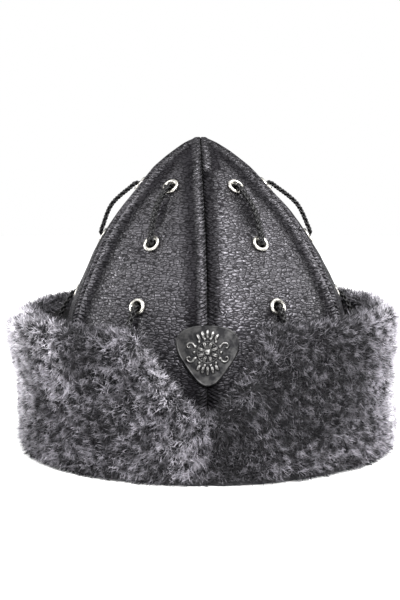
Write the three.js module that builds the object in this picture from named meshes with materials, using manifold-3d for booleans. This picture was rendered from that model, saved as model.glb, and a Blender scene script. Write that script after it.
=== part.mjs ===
// A pointed leather kalpak with a turned-up fur cuff, in millimetres.
// +Z is up, the front seam faces -Y, and the origin is on the floor under the middle of the cuff.
// Six gores are sewn to a point. Each has four eyelets and one braided lace threaded through them.
// The cuff is a fur band on a leather backing, notched in front to show the badge.
import * as THREE from "three";
import { mergeVertices } from "three/addons/utils/BufferGeometryUtils.js";
import Module from "manifold-3d";

const wasm = await Module();
wasm.setup();

// Crown
const HALF_WIDTH = 97; // centre line to the outer face of the crown's foot, at the side
const HALF_DEPTH = 101; // the same at the front
const CROWN_HEIGHT = 190; // floor to tip
const WALL = 2.5; // leather with its stiffener
const GORES = 6;
const SEAM_GAP = 0.3; // between neighbouring gores
const WELT_WIDTH = 8; // seam allowance, pressed open under the leather on each side of a seam
const WELT_HEIGHT = 1.3;
const SEAM_DEPTH = 1.4; // how far the leather turns in at a seam
const LACE_PULL = 2; // how far a lace draws the middle of its gore in
const TIP_BLUNT = 0.7; // radius at which the gores end at the tip
const TIP_LEAN = -4; // how far the tip stands off the centre line, towards +X

// Eyelets and laces
const EYELET_RADIUS = 5.1;
const EYELET_BORE = 2.75;
const EYELET_TUBE = 0.45; // wall of the barrel
const EYELET_ROLL = 0.15; // bore's edge to the top of the rolled rim
const EYELET_RISE = 1.7; // rolled rim above the leather
const EYELET_FLANGE = 0.5; // thickness of the flat rim inside
const EYELET_SLACK = 0.6; // more room under each rim, because the leather there is not flat
const EYELET_HEIGHTS = [0.33, 0.49, 0.677, 0.847]; // shares of the crown's rise, lowest first
const EYELET_SIDES = 8;
const LACE_RADIUS = 2.05;
const LACE_ARCH = 6; // lace centre above the leather, midway between two eyelets
const LACE_STEPS = 26;
const KNOT_RADIUS = 3.4;

// Cuff
const CUFF_HEIGHT = 86;
const CUFF_GAP = 4; // crown's foot to the cuff's backing
const CUFF_FLARE = 1.5; // how far the backing leans out by its upper edge
const CUFF_LEAN = -3; // how far its upper edge stands off the centre line, towards +X
const BACKING = 1.5;
const FUR_DEPTH = 14; // backing to the tips of the pile
const FUR_LIP = 8.5; // how far the fur reaches down inside the upper edge
const FUR_SPILL = 2.6; // how far the pile of that lip stands in over the backing
const FUR_TUFT = 1.3; // rise of the locks in the pile
const RIM_LEAN = 1.4; // upper edge, higher at the wearer's left
const NOTCH_HALF_WIDTH = 35;
const NOTCH_DEPTH = 47;
const JOIN_DEPTH = 3; // crease where the ends of the fur meet under the notch
const CLEARANCE = 0.3; // between pieces that touch

// Badge
const BADGE_HALF_WIDTH = 18;
const BADGE_HALF_HEIGHT = 17.3;
const BADGE_THICKNESS = 1.6;
const BADGE_BEVEL = 0.5;
const BADGE_HEIGHT = 0.364; // share of the crown's rise
const BADGE_BEND = 95; // radius of the plate's sideways bend
const BADGE_CORNERS = 26; // of its faceted outline
const LEAF_REACH = 10.4; // rosette's centre to the middle of a leaf
const LEAF_SPREAD = 0.27; // angle between leaves
const STUD_RADIUS = 1.5;
const STUD_HEAD_RADIUS = 4;
const STUD_HEAD = 1.2;

const DEPTH = HALF_DEPTH / HALF_WIDTH;
const CROWN_FOOT = BACKING + CLEARANCE;
const CROWN_RISE = CROWN_HEIGHT - CROWN_FOOT;
const HALF_GORE = Math.PI / GORES;
const CUFF_INNER = HALF_WIDTH + CUFF_GAP;
const FUR_INNER = CUFF_INNER + BACKING + CLEARANCE;
const FUR_OUTER = FUR_INNER + FUR_DEPTH;

// Sections of the crown. height: share of the rise. radius: share of the foot's radius.
// corner: 0 is round, 1 is a hexagon with its corners at the seams. pull: share of LACE_PULL.
// lean: share of TIP_LEAN.
const CROWN_SECTIONS = [
  { height: 0.0, radius: 1.0, corner: 0.02, pull: 0, lean: 0 },
  { height: 0.2, radius: 0.975, corner: 0.1, pull: 0.2, lean: 0 },
  { height: 0.37, radius: 0.919, corner: 0.2, pull: 0.8, lean: 0 },
  { height: 0.49, radius: 0.851, corner: 0.27, pull: 1, lean: 0 },
  { height: 0.59, radius: 0.763, corner: 0.31, pull: 0.8, lean: 0.07 },
  { height: 0.677, radius: 0.672, corner: 0.34, pull: 1, lean: 0.2 },
  { height: 0.765, radius: 0.553, corner: 0.37, pull: 0.7, lean: 0.38 },
  { height: 0.847, radius: 0.413, corner: 0.42, pull: 0.8, lean: 0.6 },
  { height: 0.915, radius: 0.284, corner: 0.46, pull: 0.4, lean: 0.8 },
  { height: 0.967, radius: 0.15, corner: 0.4, pull: 0.1, lean: 0.93 },
  { height: 1.0, radius: 0.048, corner: 0.2, pull: 0, lean: 1 },
];

// The leather beside a seam. across: share of WELT_WIDTH. lift: share of WELT_HEIGHT, or of SEAM_DEPTH if below 0.
const SEAM_SHAPE = [
  { across: 0, lift: -1 },
  { across: 0.38, lift: 1 },
  { across: 1, lift: 0 },
];

// The notch in the cuff. across: share of its half-width. up: share of its depth.
const NOTCH_SHAPE = [
  { across: 0, up: 0 },
  { across: 0.16, up: 0.1 },
  { across: 0.51, up: 0.4 },
  { across: 0.7, up: 0.56 },
  { across: 0.85, up: 0.73 },
  { across: 0.94, up: 0.88 },
  { across: 1.04, up: 1 },
];

// The fur's section, out from the floor, over the upper edge and down inside.
// out: share of FUR_DEPTH. up: share of the height at that place. drop: share of FUR_LIP below it.
const FUR_SECTION = [
  { out: 0.25, up: 0, drop: 0 },
  { out: 0.62, up: 0, drop: 0 },
  { out: 0.86, up: 0.045, drop: 0 },
  { out: 0.93, up: 0.14, drop: 0 },
  { out: 0.88, up: 0.42, drop: 0 },
  { out: 0.97, up: 0.64, drop: 0 },
  { out: 1.12, up: 0.8, drop: 0 },
  { out: 1.02, up: 1, drop: 0.7 },
  { out: 0.66, up: 1, drop: 0.12 },
  { out: 0.34, up: 1, drop: 0 },
  { out: 0.04, up: 1, drop: 0.22 },
];

const LEATHER = new THREE.MeshStandardMaterial({ color: 0x1b1a1c, roughness: 0.42, metalness: 0 });
const LINING = new THREE.MeshStandardMaterial({ color: 0x0d0d0e, roughness: 0.8, metalness: 0 });
const FUR = new THREE.MeshStandardMaterial({ color: 0x6c696f, roughness: 0.95, metalness: 0 });
const NICKEL = new THREE.MeshStandardMaterial({ color: 0xe9e6e2, roughness: 0.18, metalness: 1 });
const PEWTER = new THREE.MeshStandardMaterial({ color: 0x5b5a5b, roughness: 0.38, metalness: 1 });

// The value of a column of a table at a place along another column, in straight lines.
function read(table, along, place, column) {
  const last = table.length - 1;
  let k = 1;
  while (k < last && table[k][along] < place) {
    k += 1;
  }
  const [a, b] = [table[k - 1], table[k]];
  const share = THREE.MathUtils.clamp((place - a[along]) / (b[along] - a[along]), 0, 1);
  return a[column] + share * (b[column] - a[column]);
}

// A point of the oval plan: an angle from the front towards +X, with the radius as it is at the side.
function polar(radius, angle, height) {
  return new THREE.Vector3(radius * Math.sin(angle), -radius * DEPTH * Math.cos(angle), height);
}

// A point of the crown, at a share of its rise.
function crownPoint(radius, angle, height) {
  const lean = TIP_LEAN * read(CROWN_SECTIONS, "height", height, "lean");
  const point = polar(radius, angle, CROWN_FOOT + height * CROWN_RISE);
  return point.setX(point.x + lean);
}

// A point of the cuff, at a height.
function cuffPoint(radius, angle, z) {
  const share = z / CUFF_HEIGHT;
  const point = polar(radius + CUFF_FLARE * share, angle, z);
  return point.setX(point.x + CUFF_LEAN * share * share);
}

// How much the badge presses the front seam flat at a place, from 0 to 1.
function badgeSeat(angle, height) {
  const across = (HALF_WIDTH * Math.sin(angle)) / (1.25 * BADGE_HALF_WIDTH);
  const up = ((height - BADGE_HEIGHT) * CROWN_RISE) / (1.3 * BADGE_HALF_HEIGHT);
  return Math.cos(angle) > 0 ? Math.exp(-across * across - up * up) : 0;
}

// The crown's radius at an angle from the middle of a gore, before the seam's own shape.
function crownRadius(height, gore, off) {
  const flat = HALF_WIDTH * read(CROWN_SECTIONS, "height", height, "radius");
  const angle = goreAngle(gore) + off;
  const corner = read(CROWN_SECTIONS, "height", height, "corner") * (1 - badgeSeat(angle, height));
  return flat * (1 - corner + corner / Math.cos(off));
}

function goreAngle(gore) {
  return (gore + 0.5) * 2 * HALF_GORE;
}

// One gore's columns at a height: angles from its middle, with the lift of the leather at each.
function goreColumns(height, gore) {
  const flat = HALF_WIDTH * read(CROWN_SECTIONS, "height", height, "radius");
  const arc = flat * HALF_GORE;
  const shrink = Math.min(1, arc / (2 * WELT_WIDTH));
  const pull = LACE_PULL * read(CROWN_SECTIONS, "height", height, "pull") * shrink;
  const seamAngle = HALF_GORE - Math.asin(Math.min(0.45, SEAM_GAP / 2 / flat));
  const side = SEAM_SHAPE.map(({ across, lift }) => ({
    off: seamAngle - (across * WELT_WIDTH * shrink) / flat,
    lift: shrink * lift * (lift < 0 ? SEAM_DEPTH : WELT_HEIGHT),
  }));
  side.push({ off: 0.5 * side.at(-1).off, lift: 0 });
  const left = side.map(({ off, lift }) => ({ off: -off, lift }));
  const columns = [...left, { off: 0, lift: -pull }, ...side.reverse()];
  return columns.map(({ off, lift }) => {
    const pressed = 1 - 0.8 * badgeSeat(goreAngle(gore) + off, height);
    return { off, lift: lift * pressed };
  });
}

// A closed skin between two grids of points that share their rows and columns.
function slab(outer, inner) {
  const rows = outer.length;
  const columns = outer[0].length;
  const points = [...outer.flat(), ...inner.flat()];
  const at = (side, i, j) => side * rows * columns + i * columns + j;
  const index = [];
  const quad = (a, b, c, d) => index.push(a, b, c, a, c, d);
  for (let i = 0; i + 1 < rows; i += 1) {
    for (let j = 0; j + 1 < columns; j += 1) {
      quad(at(0, i, j), at(0, i, j + 1), at(0, i + 1, j + 1), at(0, i + 1, j));
      quad(at(1, i, j), at(1, i + 1, j), at(1, i + 1, j + 1), at(1, i, j + 1));
    }
    quad(at(0, i, 0), at(0, i + 1, 0), at(1, i + 1, 0), at(1, i, 0));
    const end = columns - 1;
    quad(at(0, i, end), at(1, i, end), at(1, i + 1, end), at(0, i + 1, end));
  }
  for (let j = 0; j + 1 < columns; j += 1) {
    const top = rows - 1;
    quad(at(0, 0, j), at(1, 0, j), at(1, 0, j + 1), at(0, 0, j + 1));
    quad(at(0, top, j), at(0, top, j + 1), at(1, top, j + 1), at(1, top, j));
  }
  return new THREE.BufferGeometry().setFromPoints(points).setIndex(index);
}

// A closed ring from a loop of points at each place round the hat. Its diagonals meet at every second point.
function ring(loops) {
  const around = loops.length;
  const loop = loops[0].length;
  const index = [];
  for (let i = 0; i < around; i += 1) {
    const next = (i + 1) % around;
    for (let k = 0; k < loop; k += 1) {
      const up = (k + 1) % loop;
      const [a, b, c, d] = [i * loop + k, next * loop + k, next * loop + up, i * loop + up];
      if ((i + k) % 2 === 0) {
        index.push(a, b, c, a, c, d);
      } else {
        index.push(a, b, d, b, c, d);
      }
    }
  }
  return new THREE.BufferGeometry().setFromPoints(loops.flat()).setIndex(index);
}

function toSolid(geometry) {
  const bare = new THREE.BufferGeometry();
  bare.setAttribute("position", geometry.getAttribute("position"));
  bare.setIndex(geometry.getIndex());
  const merged = mergeVertices(bare, 1e-4);
  const vertProperties = new Float32Array(merged.getAttribute("position").array);
  const triVerts = new Uint32Array(merged.getIndex().array);
  return new wasm.Manifold(new wasm.Mesh({ numProp: 3, vertProperties, triVerts }));
}

function toGeometry(solid) {
  const mesh = solid.getMesh();
  const geometry = new THREE.BufferGeometry();
  geometry.setAttribute("position", new THREE.BufferAttribute(mesh.vertProperties, 3));
  geometry.setIndex(new THREE.BufferAttribute(mesh.triVerts, 1));
  geometry.computeVertexNormals();
  return geometry;
}

function named(name, geometry, material) {
  const mesh = new THREE.Mesh(geometry, material);
  mesh.name = name;
  return mesh;
}

// A frame on the crown's outer face: X along the foot, Y up the gore and Z out of the leather.
function seatOn(gore, off, height, lift) {
  const near = 0.03;
  const face = (h, turn) => crownPoint(crownRadius(h, gore, off) + lift, goreAngle(gore) + off + turn, h);
  const x = face(height, near).sub(face(height, -near)).normalize();
  const up = face(height + near, 0).sub(face(height - near, 0));
  const z = new THREE.Vector3().crossVectors(x, up).normalize();
  const y = new THREE.Vector3().crossVectors(z, x);
  return new THREE.Matrix4().makeBasis(x, y, z).setPosition(face(height, 0));
}

function eyeletSeat(gore, height) {
  return seatOn(gore, 0, height, -LACE_PULL * read(CROWN_SECTIONS, "height", height, "pull"));
}

function badgeFrame() {
  return seatOn(0, -HALF_GORE, BADGE_HEIGHT, WELT_HEIGHT * 0.35 + CLEARANCE);
}

// A round bar along Z from one height to another.
function bar(radius, from, to, sides) {
  const geometry = new THREE.CylinderGeometry(radius, radius, to - from, sides);
  return geometry.rotateX(Math.PI / 2).translate(0, 0, (from + to) / 2);
}

// The hole that an eyelet needs in the leather.
function eyeletCut(seat) {
  const reach = 3 * WALL;
  const hole = bar(EYELET_BORE + EYELET_TUBE + CLEARANCE, -reach, reach, EYELET_SIDES);
  return toSolid(hole.applyMatrix4(seat));
}

// What the badge takes out of the leather: a pressed seat, a hole for its stud and room for the stud's head.
function badgeCut(frame) {
  const reach = 5 * WALL;
  const outline = new THREE.Shape(badgeOutline(BADGE_CORNERS, CLEARANCE));
  const plate = new THREE.ExtrudeGeometry(outline, { depth: reach, bevelEnabled: false });
  const pressed = bend(plate.translate(0, 0, -CLEARANCE));
  const hole = bar(STUD_RADIUS + CLEARANCE, -reach, reach, 8);
  const below = bar(STUD_HEAD_RADIUS + CLEARANCE, -reach, -studLength() + CLEARANCE, 8);
  return [pressed, hole, below].map((cut) => toSolid(cut.applyMatrix4(frame)));
}

function studLength() {
  return WALL + WELT_HEIGHT + 3 * CLEARANCE;
}

function goreSolid(gore) {
  const outer = [];
  const inner = [];
  const heights = CROWN_SECTIONS.map(({ height }) => height);
  const sections = heights.map((height) => {
    const columns = goreColumns(height, gore);
    return columns.map(({ off, lift }) => ({
      angle: goreAngle(gore) + off,
      radius: Math.max(TIP_BLUNT, crownRadius(height, gore, off) + lift),
      height,
    }));
  });
  // The gores dip a little where they meet at the tip.
  const tip = sections.at(-1).map(({ angle, height }) => ({
    angle: goreAngle(gore) + (angle - goreAngle(gore)) * 0.6,
    radius: TIP_BLUNT,
    height: height - (0.5 * SEAM_DEPTH) / CROWN_RISE,
  }));
  sections.push(tip);
  sections.forEach((row, i) => {
    const below = sections[Math.max(0, i - 1)];
    const above = sections[Math.min(sections.length - 1, i + 1)];
    outer.push(row.map(({ radius, angle, height }) => crownPoint(radius, angle, height)));
    inner.push(
      row.map(({ radius, angle, height }, j) => {
        const rise = CROWN_RISE * (above[j].height - below[j].height);
        const slope = new THREE.Vector2(above[j].radius - below[j].radius, rise).normalize();
        const within = Math.max(0.9 * TIP_BLUNT, radius - WALL * slope.y);
        return crownPoint(within, angle, Math.max(0, height + (WALL * slope.x) / CROWN_RISE));
      }),
    );
  });
  const cuts = EYELET_HEIGHTS.map((height) => eyeletCut(eyeletSeat(gore, height)));
  cuts.push(...badgeCut(badgeFrame()));
  return cuts.reduce((body, cut) => body.subtract(cut), toSolid(slab(outer, inner)));
}

// An eyelet with its rolled rim outside, barrel through the leather and flat rim inside.
function eyeletGeometry() {
  const barrel = EYELET_BORE + EYELET_TUBE;
  const front = CLEARANCE + EYELET_SLACK;
  const back = -WALL - CLEARANCE - EYELET_SLACK;
  const profile = [
    new THREE.Vector2(EYELET_BORE, back - EYELET_FLANGE),
    new THREE.Vector2(0.9 * EYELET_RADIUS, back - EYELET_FLANGE),
    new THREE.Vector2(barrel, back),
    new THREE.Vector2(barrel, front),
    new THREE.Vector2(EYELET_RADIUS, front),
    new THREE.Vector2(EYELET_BORE + EYELET_ROLL, EYELET_RISE),
    new THREE.Vector2(EYELET_BORE, back - EYELET_FLANGE),
  ];
  return toGeometry(toSolid(new THREE.LatheGeometry(profile, EYELET_SIDES).rotateX(Math.PI / 2)));
}

// A lace goes out through the top eyelet, in at the next, out again and in at the lowest.
function laceSolid(gore) {
  const [low, third, second, top] = EYELET_HEIGHTS;
  const points = [];
  const under = -WALL - EYELET_SLACK - EYELET_FLANGE - 2 * CLEARANCE;
  // Heights above the leather and distances down the gore, from a seat's own frame
  const add = (height, down, out) => {
    const step = new THREE.Vector3(0, -down, out);
    points.push(step.applyMatrix4(eyeletSeat(gore, height)));
  };
  const comeOut = (height) => {
    add(height, 0, under);
    add(height, 0, 0.6 * EYELET_RISE);
    add(height, 0.55 * LACE_RADIUS, EYELET_RISE + LACE_RADIUS);
    add(height, 2.4 * LACE_RADIUS, 0.66 * LACE_ARCH);
  };
  const goIn = (height) => {
    add(height, -2.4 * LACE_RADIUS, 0.66 * LACE_ARCH);
    add(height, -0.55 * LACE_RADIUS, EYELET_RISE + LACE_RADIUS);
    add(height, 0, 0.6 * EYELET_RISE);
    add(height, 0, under);
  };
  add(top, 0, under - KNOT_RADIUS);
  comeOut(top);
  add((top + second) / 2, 0, LACE_ARCH);
  goIn(second);
  add(second, 0.8 * LACE_RADIUS, under - LACE_RADIUS);
  add((second + third) / 2, 0, under - LACE_RADIUS);
  add(third, -0.8 * LACE_RADIUS, under - LACE_RADIUS);
  comeOut(third);
  add((third + low) / 2, 0, LACE_ARCH);
  goIn(low);
  add(low, 0, under - KNOT_RADIUS);
  const sides = 5;
  const corners = Array.from({ length: sides }, (_, k) => {
    const turn = ((k + 0.5) * 2 * Math.PI) / sides;
    return new THREE.Vector2(LACE_RADIUS * Math.cos(turn), LACE_RADIUS * Math.sin(turn));
  });
  const path = new THREE.CatmullRomCurve3(points, false, "centripetal");
  const options = { steps: LACE_STEPS, bevelEnabled: false, extrudePath: path };
  const tube = toSolid(new THREE.ExtrudeGeometry(new THREE.Shape(corners), options));
  const knot = (at) => {
    const ball = new THREE.SphereGeometry(KNOT_RADIUS, 5, 3);
    return toSolid(ball.translate(at.x, at.y, at.z));
  };
  return tube.add(knot(points[0])).add(knot(points.at(-1)));
}

// Angles round the cuff, closer together across the notch.
function cuffAngles() {
  const notch = (1.25 * NOTCH_HALF_WIDTH) / FUR_OUTER;
  const across = 14;
  const round = 38;
  const angles = [];
  for (let k = 0; k < across; k += 1) {
    angles.push(notch * ((2 * k) / across - 1));
  }
  for (let k = 0; k < round; k += 1) {
    angles.push(notch + (2 * (Math.PI - notch) * k) / round);
  }
  return angles;
}

function fromFront(angle) {
  return Math.abs(Math.atan2(Math.sin(angle), Math.cos(angle)));
}

// Height of the cuff's upper edge at an angle.
function cuffTop(angle) {
  const across = (fromFront(angle) * FUR_OUTER) / NOTCH_HALF_WIDTH;
  const cut = 1 - read(NOTCH_SHAPE, "across", across, "up");
  return CUFF_HEIGHT + RIM_LEAN * Math.sin(angle) - cut * NOTCH_DEPTH;
}

// The backing: a hem under the crown's foot and a wall that stands behind the fur.
function backingGeometry() {
  const loops = cuffAngles().map((angle) => {
    const top = cuffTop(angle) - FUR_LIP - CLEARANCE;
    return [
      cuffPoint(HALF_WIDTH - WALL, angle, 0),
      cuffPoint(CUFF_INNER + BACKING, angle, 0),
      cuffPoint(CUFF_INNER + BACKING, angle, top),
      cuffPoint(CUFF_INNER, angle, top),
      cuffPoint(CUFF_INNER, angle, BACKING),
      polar(HALF_WIDTH - WALL, angle, BACKING),
    ];
  });
  return ring(loops);
}

function furGeometry() {
  const loops = cuffAngles().map((angle, i) => {
    const top = cuffTop(angle);
    const join = JOIN_DEPTH * Math.exp(-((fromFront(angle) * FUR_OUTER) ** 2) / 16);
    const loop = FUR_SECTION.map(({ out, up, drop }, k) => {
      const z = up * top - drop * FUR_LIP;
      const lock = up === 0 ? 0 : FUR_TUFT * ((i + k) % 2 === 0 ? 1 : -1);
      const rise = up === 1 ? 0.5 * lock : 0;
      const depth = out * FUR_DEPTH - (out > 0.8 ? join : 0) + lock;
      return cuffPoint(FUR_INNER + Math.max(0.5, depth), angle, z + rise);
    });
    const lip = top - FUR_LIP;
    return [
      cuffPoint(FUR_INNER, angle, 0),
      ...loop,
      cuffPoint(CUFF_INNER - 0.8 * FUR_SPILL, angle, top - 0.55 * FUR_LIP),
      cuffPoint(CUFF_INNER - 0.5 * FUR_SPILL, angle, lip),
      cuffPoint(FUR_INNER, angle, lip),
    ];
  });
  return ring(loops);
}

// The badge's outline: a round-cornered triangle with its point down.
function badgeOutline(count, margin) {
  return Array.from({ length: count }, (_, k) => {
    const turn = (2 * Math.PI * k) / count;
    const reach = 1 + 0.07 * Math.cos(3 * (turn - Math.PI / 6));
    const across = ((BADGE_HALF_WIDTH + margin) / 1.08) * reach * (1 + 0.25 * Math.sin(turn));
    const up = (BADGE_HALF_HEIGHT + margin) * reach;
    return new THREE.Vector2(across * Math.cos(turn), up * Math.sin(turn));
  });
}

// A raised, stretched bead on the plate's face.
function bead(x, y, length, width, rise, turn) {
  const geometry = new THREE.OctahedronGeometry(1, 0);
  return geometry.scale(length, width, rise).rotateZ(turn).translate(x, y, BADGE_THICKNESS);
}

// The relief: a rosette with a boss, a ring of beads, four horn scrolls and a leaf spray above and below.
function badgeRelief() {
  const relief = [];
  const centre = 0.8;
  const boss = new THREE.SphereGeometry(2.2, 8, 4);
  relief.push(boss.scale(1, 1, 0.7).translate(0, centre, BADGE_THICKNESS));
  const around = (count, radius, start, make) => {
    for (let k = 0; k < count; k += 1) {
      const turn = start + (2 * Math.PI * k) / count;
      relief.push(make(radius * Math.cos(turn), centre + radius * Math.sin(turn), turn));
    }
  };
  around(8, 4.3, Math.PI / 8, (x, y, turn) => bead(x, y, 2, 1.1, 0.9, turn));
  around(14, 7.6, 0, (x, y, turn) => bead(x, y, 0.9, 0.9, 0.7, turn));
  for (const side of [-1, 1]) {
    for (const level of [-1, 1]) {
      const points = Array.from({ length: 6 }, (_, k) => {
        const turn = k * 0.85;
        const radius = 2.9 - 0.42 * k;
        const x = side * (10.2 - radius * Math.cos(turn));
        return new THREE.Vector3(x, centre + level * (3.2 + radius * Math.sin(turn)), BADGE_THICKNESS);
      });
      const options = { steps: 6, bevelEnabled: false, extrudePath: new THREE.CatmullRomCurve3(points) };
      const square = [0, 1, 2, 3].map((k) => {
        return new THREE.Vector2(0.6 * Math.cos((k * Math.PI) / 2), 0.6 * Math.sin((k * Math.PI) / 2));
      });
      relief.push(new THREE.ExtrudeGeometry(new THREE.Shape(square), options));
    }
  }
  for (const side of [-1, 1]) {
    for (let leaf = -2; leaf <= 2; leaf += 1) {
      const turn = side * (Math.PI / 2 + LEAF_SPREAD * leaf);
      const reach = LEAF_REACH - 0.2 * Math.abs(leaf);
      const [x, y] = [reach * Math.cos(turn), centre + reach * Math.sin(turn)];
      relief.push(bead(x, y, 2.5 - 0.3 * Math.abs(leaf), 0.8, 0.8, turn));
    }
  }
  return relief;
}

function plateGeometry() {
  const plate = new THREE.ExtrudeGeometry(new THREE.Shape(badgeOutline(BADGE_CORNERS, 0)), {
    depth: BADGE_THICKNESS - 2 * BADGE_BEVEL,
    bevelThickness: BADGE_BEVEL,
    bevelSize: BADGE_BEVEL,
    bevelOffset: -BADGE_BEVEL,
    bevelSegments: 1,
  });
  return plate.translate(0, 0, BADGE_BEVEL);
}

// Bends what lies on the plate's frame round the crown, sideways.
function bend(geometry) {
  const position = geometry.getAttribute("position");
  for (let i = 0; i < position.count; i += 1) {
    const x = position.getX(i);
    position.setZ(i, position.getZ(i) - (x * x) / (2 * BADGE_BEND));
  }
  return geometry;
}

function badgeGeometry() {
  const shank = bar(STUD_RADIUS, -studLength() - 0.5 * STUD_HEAD, 0.5 * BADGE_THICKNESS, 8);
  const head = bar(STUD_HEAD_RADIUS, -studLength() - STUD_HEAD, -studLength(), 8);
  const pieces = [shank, head, ...badgeRelief()].map(toSolid);
  const whole = pieces.reduce((body, piece) => body.add(piece), toSolid(plateGeometry()));
  return bend(toGeometry(whole));
}

function place(mesh, frame) {
  frame.decompose(mesh.position, mesh.quaternion, mesh.scale);
  return mesh;
}

const GORE_NAMES = ["front_right", "right", "back_right", "back_left", "left", "front_left"];

function goreName(gore) {
  return GORES === GORE_NAMES.length ? GORE_NAMES[gore] : `${gore + 1}`;
}

function crown() {
  const group = new THREE.Group();
  for (let gore = 0; gore < GORES; gore += 1) {
    group.add(named(`gore_${goreName(gore)}`, toGeometry(goreSolid(gore)), LEATHER));
  }
  return group;
}

function lacing() {
  const group = new THREE.Group();
  const eyelet = eyeletGeometry();
  for (let gore = 0; gore < GORES; gore += 1) {
    EYELET_HEIGHTS.forEach((height, k) => {
      const name = `eyelet_${goreName(gore)}_${EYELET_HEIGHTS.length - k}`;
      group.add(place(named(name, eyelet, NICKEL), eyeletSeat(gore, height)));
    });
    group.add(named(`lace_${goreName(gore)}`, toGeometry(laceSolid(gore)), LEATHER));
  }
  return group;
}

function cuff() {
  const group = new THREE.Group();
  group.add(named("cuff_backing", backingGeometry(), LINING));
  group.add(named("cuff_fur", furGeometry(), FUR));
  return group;
}

const kalpak = new THREE.Group();
kalpak.add(crown(), lacing(), cuff());
kalpak.add(place(named("badge", badgeGeometry(), PEWTER), badgeFrame()));
// The cuff leans from the crown's foot, so its middle lies half its lean to the side.
kalpak.position.setX(-CUFF_LEAN / 2);

export default kalpak;
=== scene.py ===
"""The finish of a pointed leather kalpak with a turned-up fur cuff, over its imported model.

Metres, +Z up, the front seam faces -Y. Angles run from the front towards +X.
"""

import math

import bpy
import numpy as np
from mathutils import Matrix, Vector


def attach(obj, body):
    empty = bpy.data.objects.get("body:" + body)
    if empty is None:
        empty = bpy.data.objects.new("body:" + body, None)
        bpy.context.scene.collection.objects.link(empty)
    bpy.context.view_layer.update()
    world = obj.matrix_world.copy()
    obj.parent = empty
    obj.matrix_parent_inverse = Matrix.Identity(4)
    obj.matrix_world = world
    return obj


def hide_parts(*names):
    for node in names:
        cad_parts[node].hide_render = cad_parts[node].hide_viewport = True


bl_info = {
    "name": "Kalpak with a fur cuff",
    "version": (1, 0, 0),
    "blender": (4, 5, 0),
    "location": "3D Viewport > Sidebar > Kalpak",
    "description": "Makes the leather gores, eyelets, braided laces, badge and fur cuff of a kalpak",
    "category": "Add Mesh",
}

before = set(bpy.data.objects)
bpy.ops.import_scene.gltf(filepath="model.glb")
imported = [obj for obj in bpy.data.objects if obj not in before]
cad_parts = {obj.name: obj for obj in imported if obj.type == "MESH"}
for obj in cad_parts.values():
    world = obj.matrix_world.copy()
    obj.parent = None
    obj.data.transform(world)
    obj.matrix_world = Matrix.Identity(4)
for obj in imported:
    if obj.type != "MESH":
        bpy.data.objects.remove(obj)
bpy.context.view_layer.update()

# Sizes of the solids, as the model has them
SHIFT = 0.0015  # of the whole hat, towards +X
HALF_WIDTH = 0.097
HALF_DEPTH = 0.101
CROWN_HEIGHT = 0.190
WALL = 0.0025
GORES = 6
TIP_BLUNT = 0.0007
TIP_LEAN = -0.004
EYELET_RADIUS = 0.0051
EYELET_BORE = 0.00275
EYELET_RISE = 0.0017
EYELET_SLACK = 0.0006
EYELET_FLANGE = 0.0005
EYELET_HEIGHTS = (0.33, 0.49, 0.677, 0.847)
LACE_RADIUS = 0.00205
LACE_ARCH = 0.006
KNOT_RADIUS = 0.0034
CUFF_HEIGHT = 0.086
CUFF_GAP = 0.004
CUFF_FLARE = 0.0015
CUFF_LEAN = -0.003
BACKING = 0.0015
FUR_DEPTH = 0.014
FUR_SPILL = 0.0026
NOTCH_HALF_WIDTH = 0.035
NOTCH_DEPTH = 0.047
JOIN_DEPTH = 0.003
CLEARANCE = 0.0003
WELT_HEIGHT = 0.0013
BADGE_HALF_WIDTH = 0.018
BADGE_HALF_HEIGHT = 0.0173
BADGE_THICKNESS = 0.0016
BADGE_BEVEL = 0.0005
BADGE_HEIGHT = 0.364
BADGE_BEND = 0.095
STUD_RADIUS = 0.0015
STUD_HEAD_RADIUS = 0.004
STUD_HEAD = 0.0012

# Sizes of the finish alone
SEAM_GAP = -0.0002  # the gores overlap a little, so that no light shows between them
FUR_LIP = 0.0055  # less than the solid's, which stands for the ends of the pile too
RIM_LEAN = 0.0022  # the rim is higher on the right by this, and lower on the left
HOLE_CUT = 0.0026  # leather nearer than this to an eyelet's axis is cut away
HOLE_RADIUS = 0.0036
HOLE_REACH = 0.009  # how far out the leather's points still move onto the hole's edge
HOLE_DEPTH = 0.01  # and how far in or out of the leather
NOTCH_WIDER = 0.0042  # the pile fills this much of the notch again, on each side
LACE_STEPS = 300
BADGE_CENTRE = 0.8  # height of the relief's middle on the plate, in millimetres
BADGE_AROUND = 320
BADGE_STEPS = 84
STUD_SIDES = 28
BACKING_AROUND = 288
FUR_AROUND = 400
FUR_LOOP = 72
FLOOR_SIDES = 96
LAMP_AIM = (0, 0, 0.08)
CAMERA_X = -0.0028

DEPTH = HALF_DEPTH / HALF_WIDTH
CROWN_FOOT = BACKING + CLEARANCE
CROWN_RISE = CROWN_HEIGHT - CROWN_FOOT
HALF_GORE = math.pi / GORES
CUFF_INNER = HALF_WIDTH + CUFF_GAP
FUR_INNER = CUFF_INNER + BACKING + CLEARANCE
FUR_OUTER = FUR_INNER + FUR_DEPTH
GORE_NAMES = ("front_right", "right", "back_right", "back_left", "left", "front_left")
FUR_SECTORS = ("front_right", "back_right", "back_left", "front_left")

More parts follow.
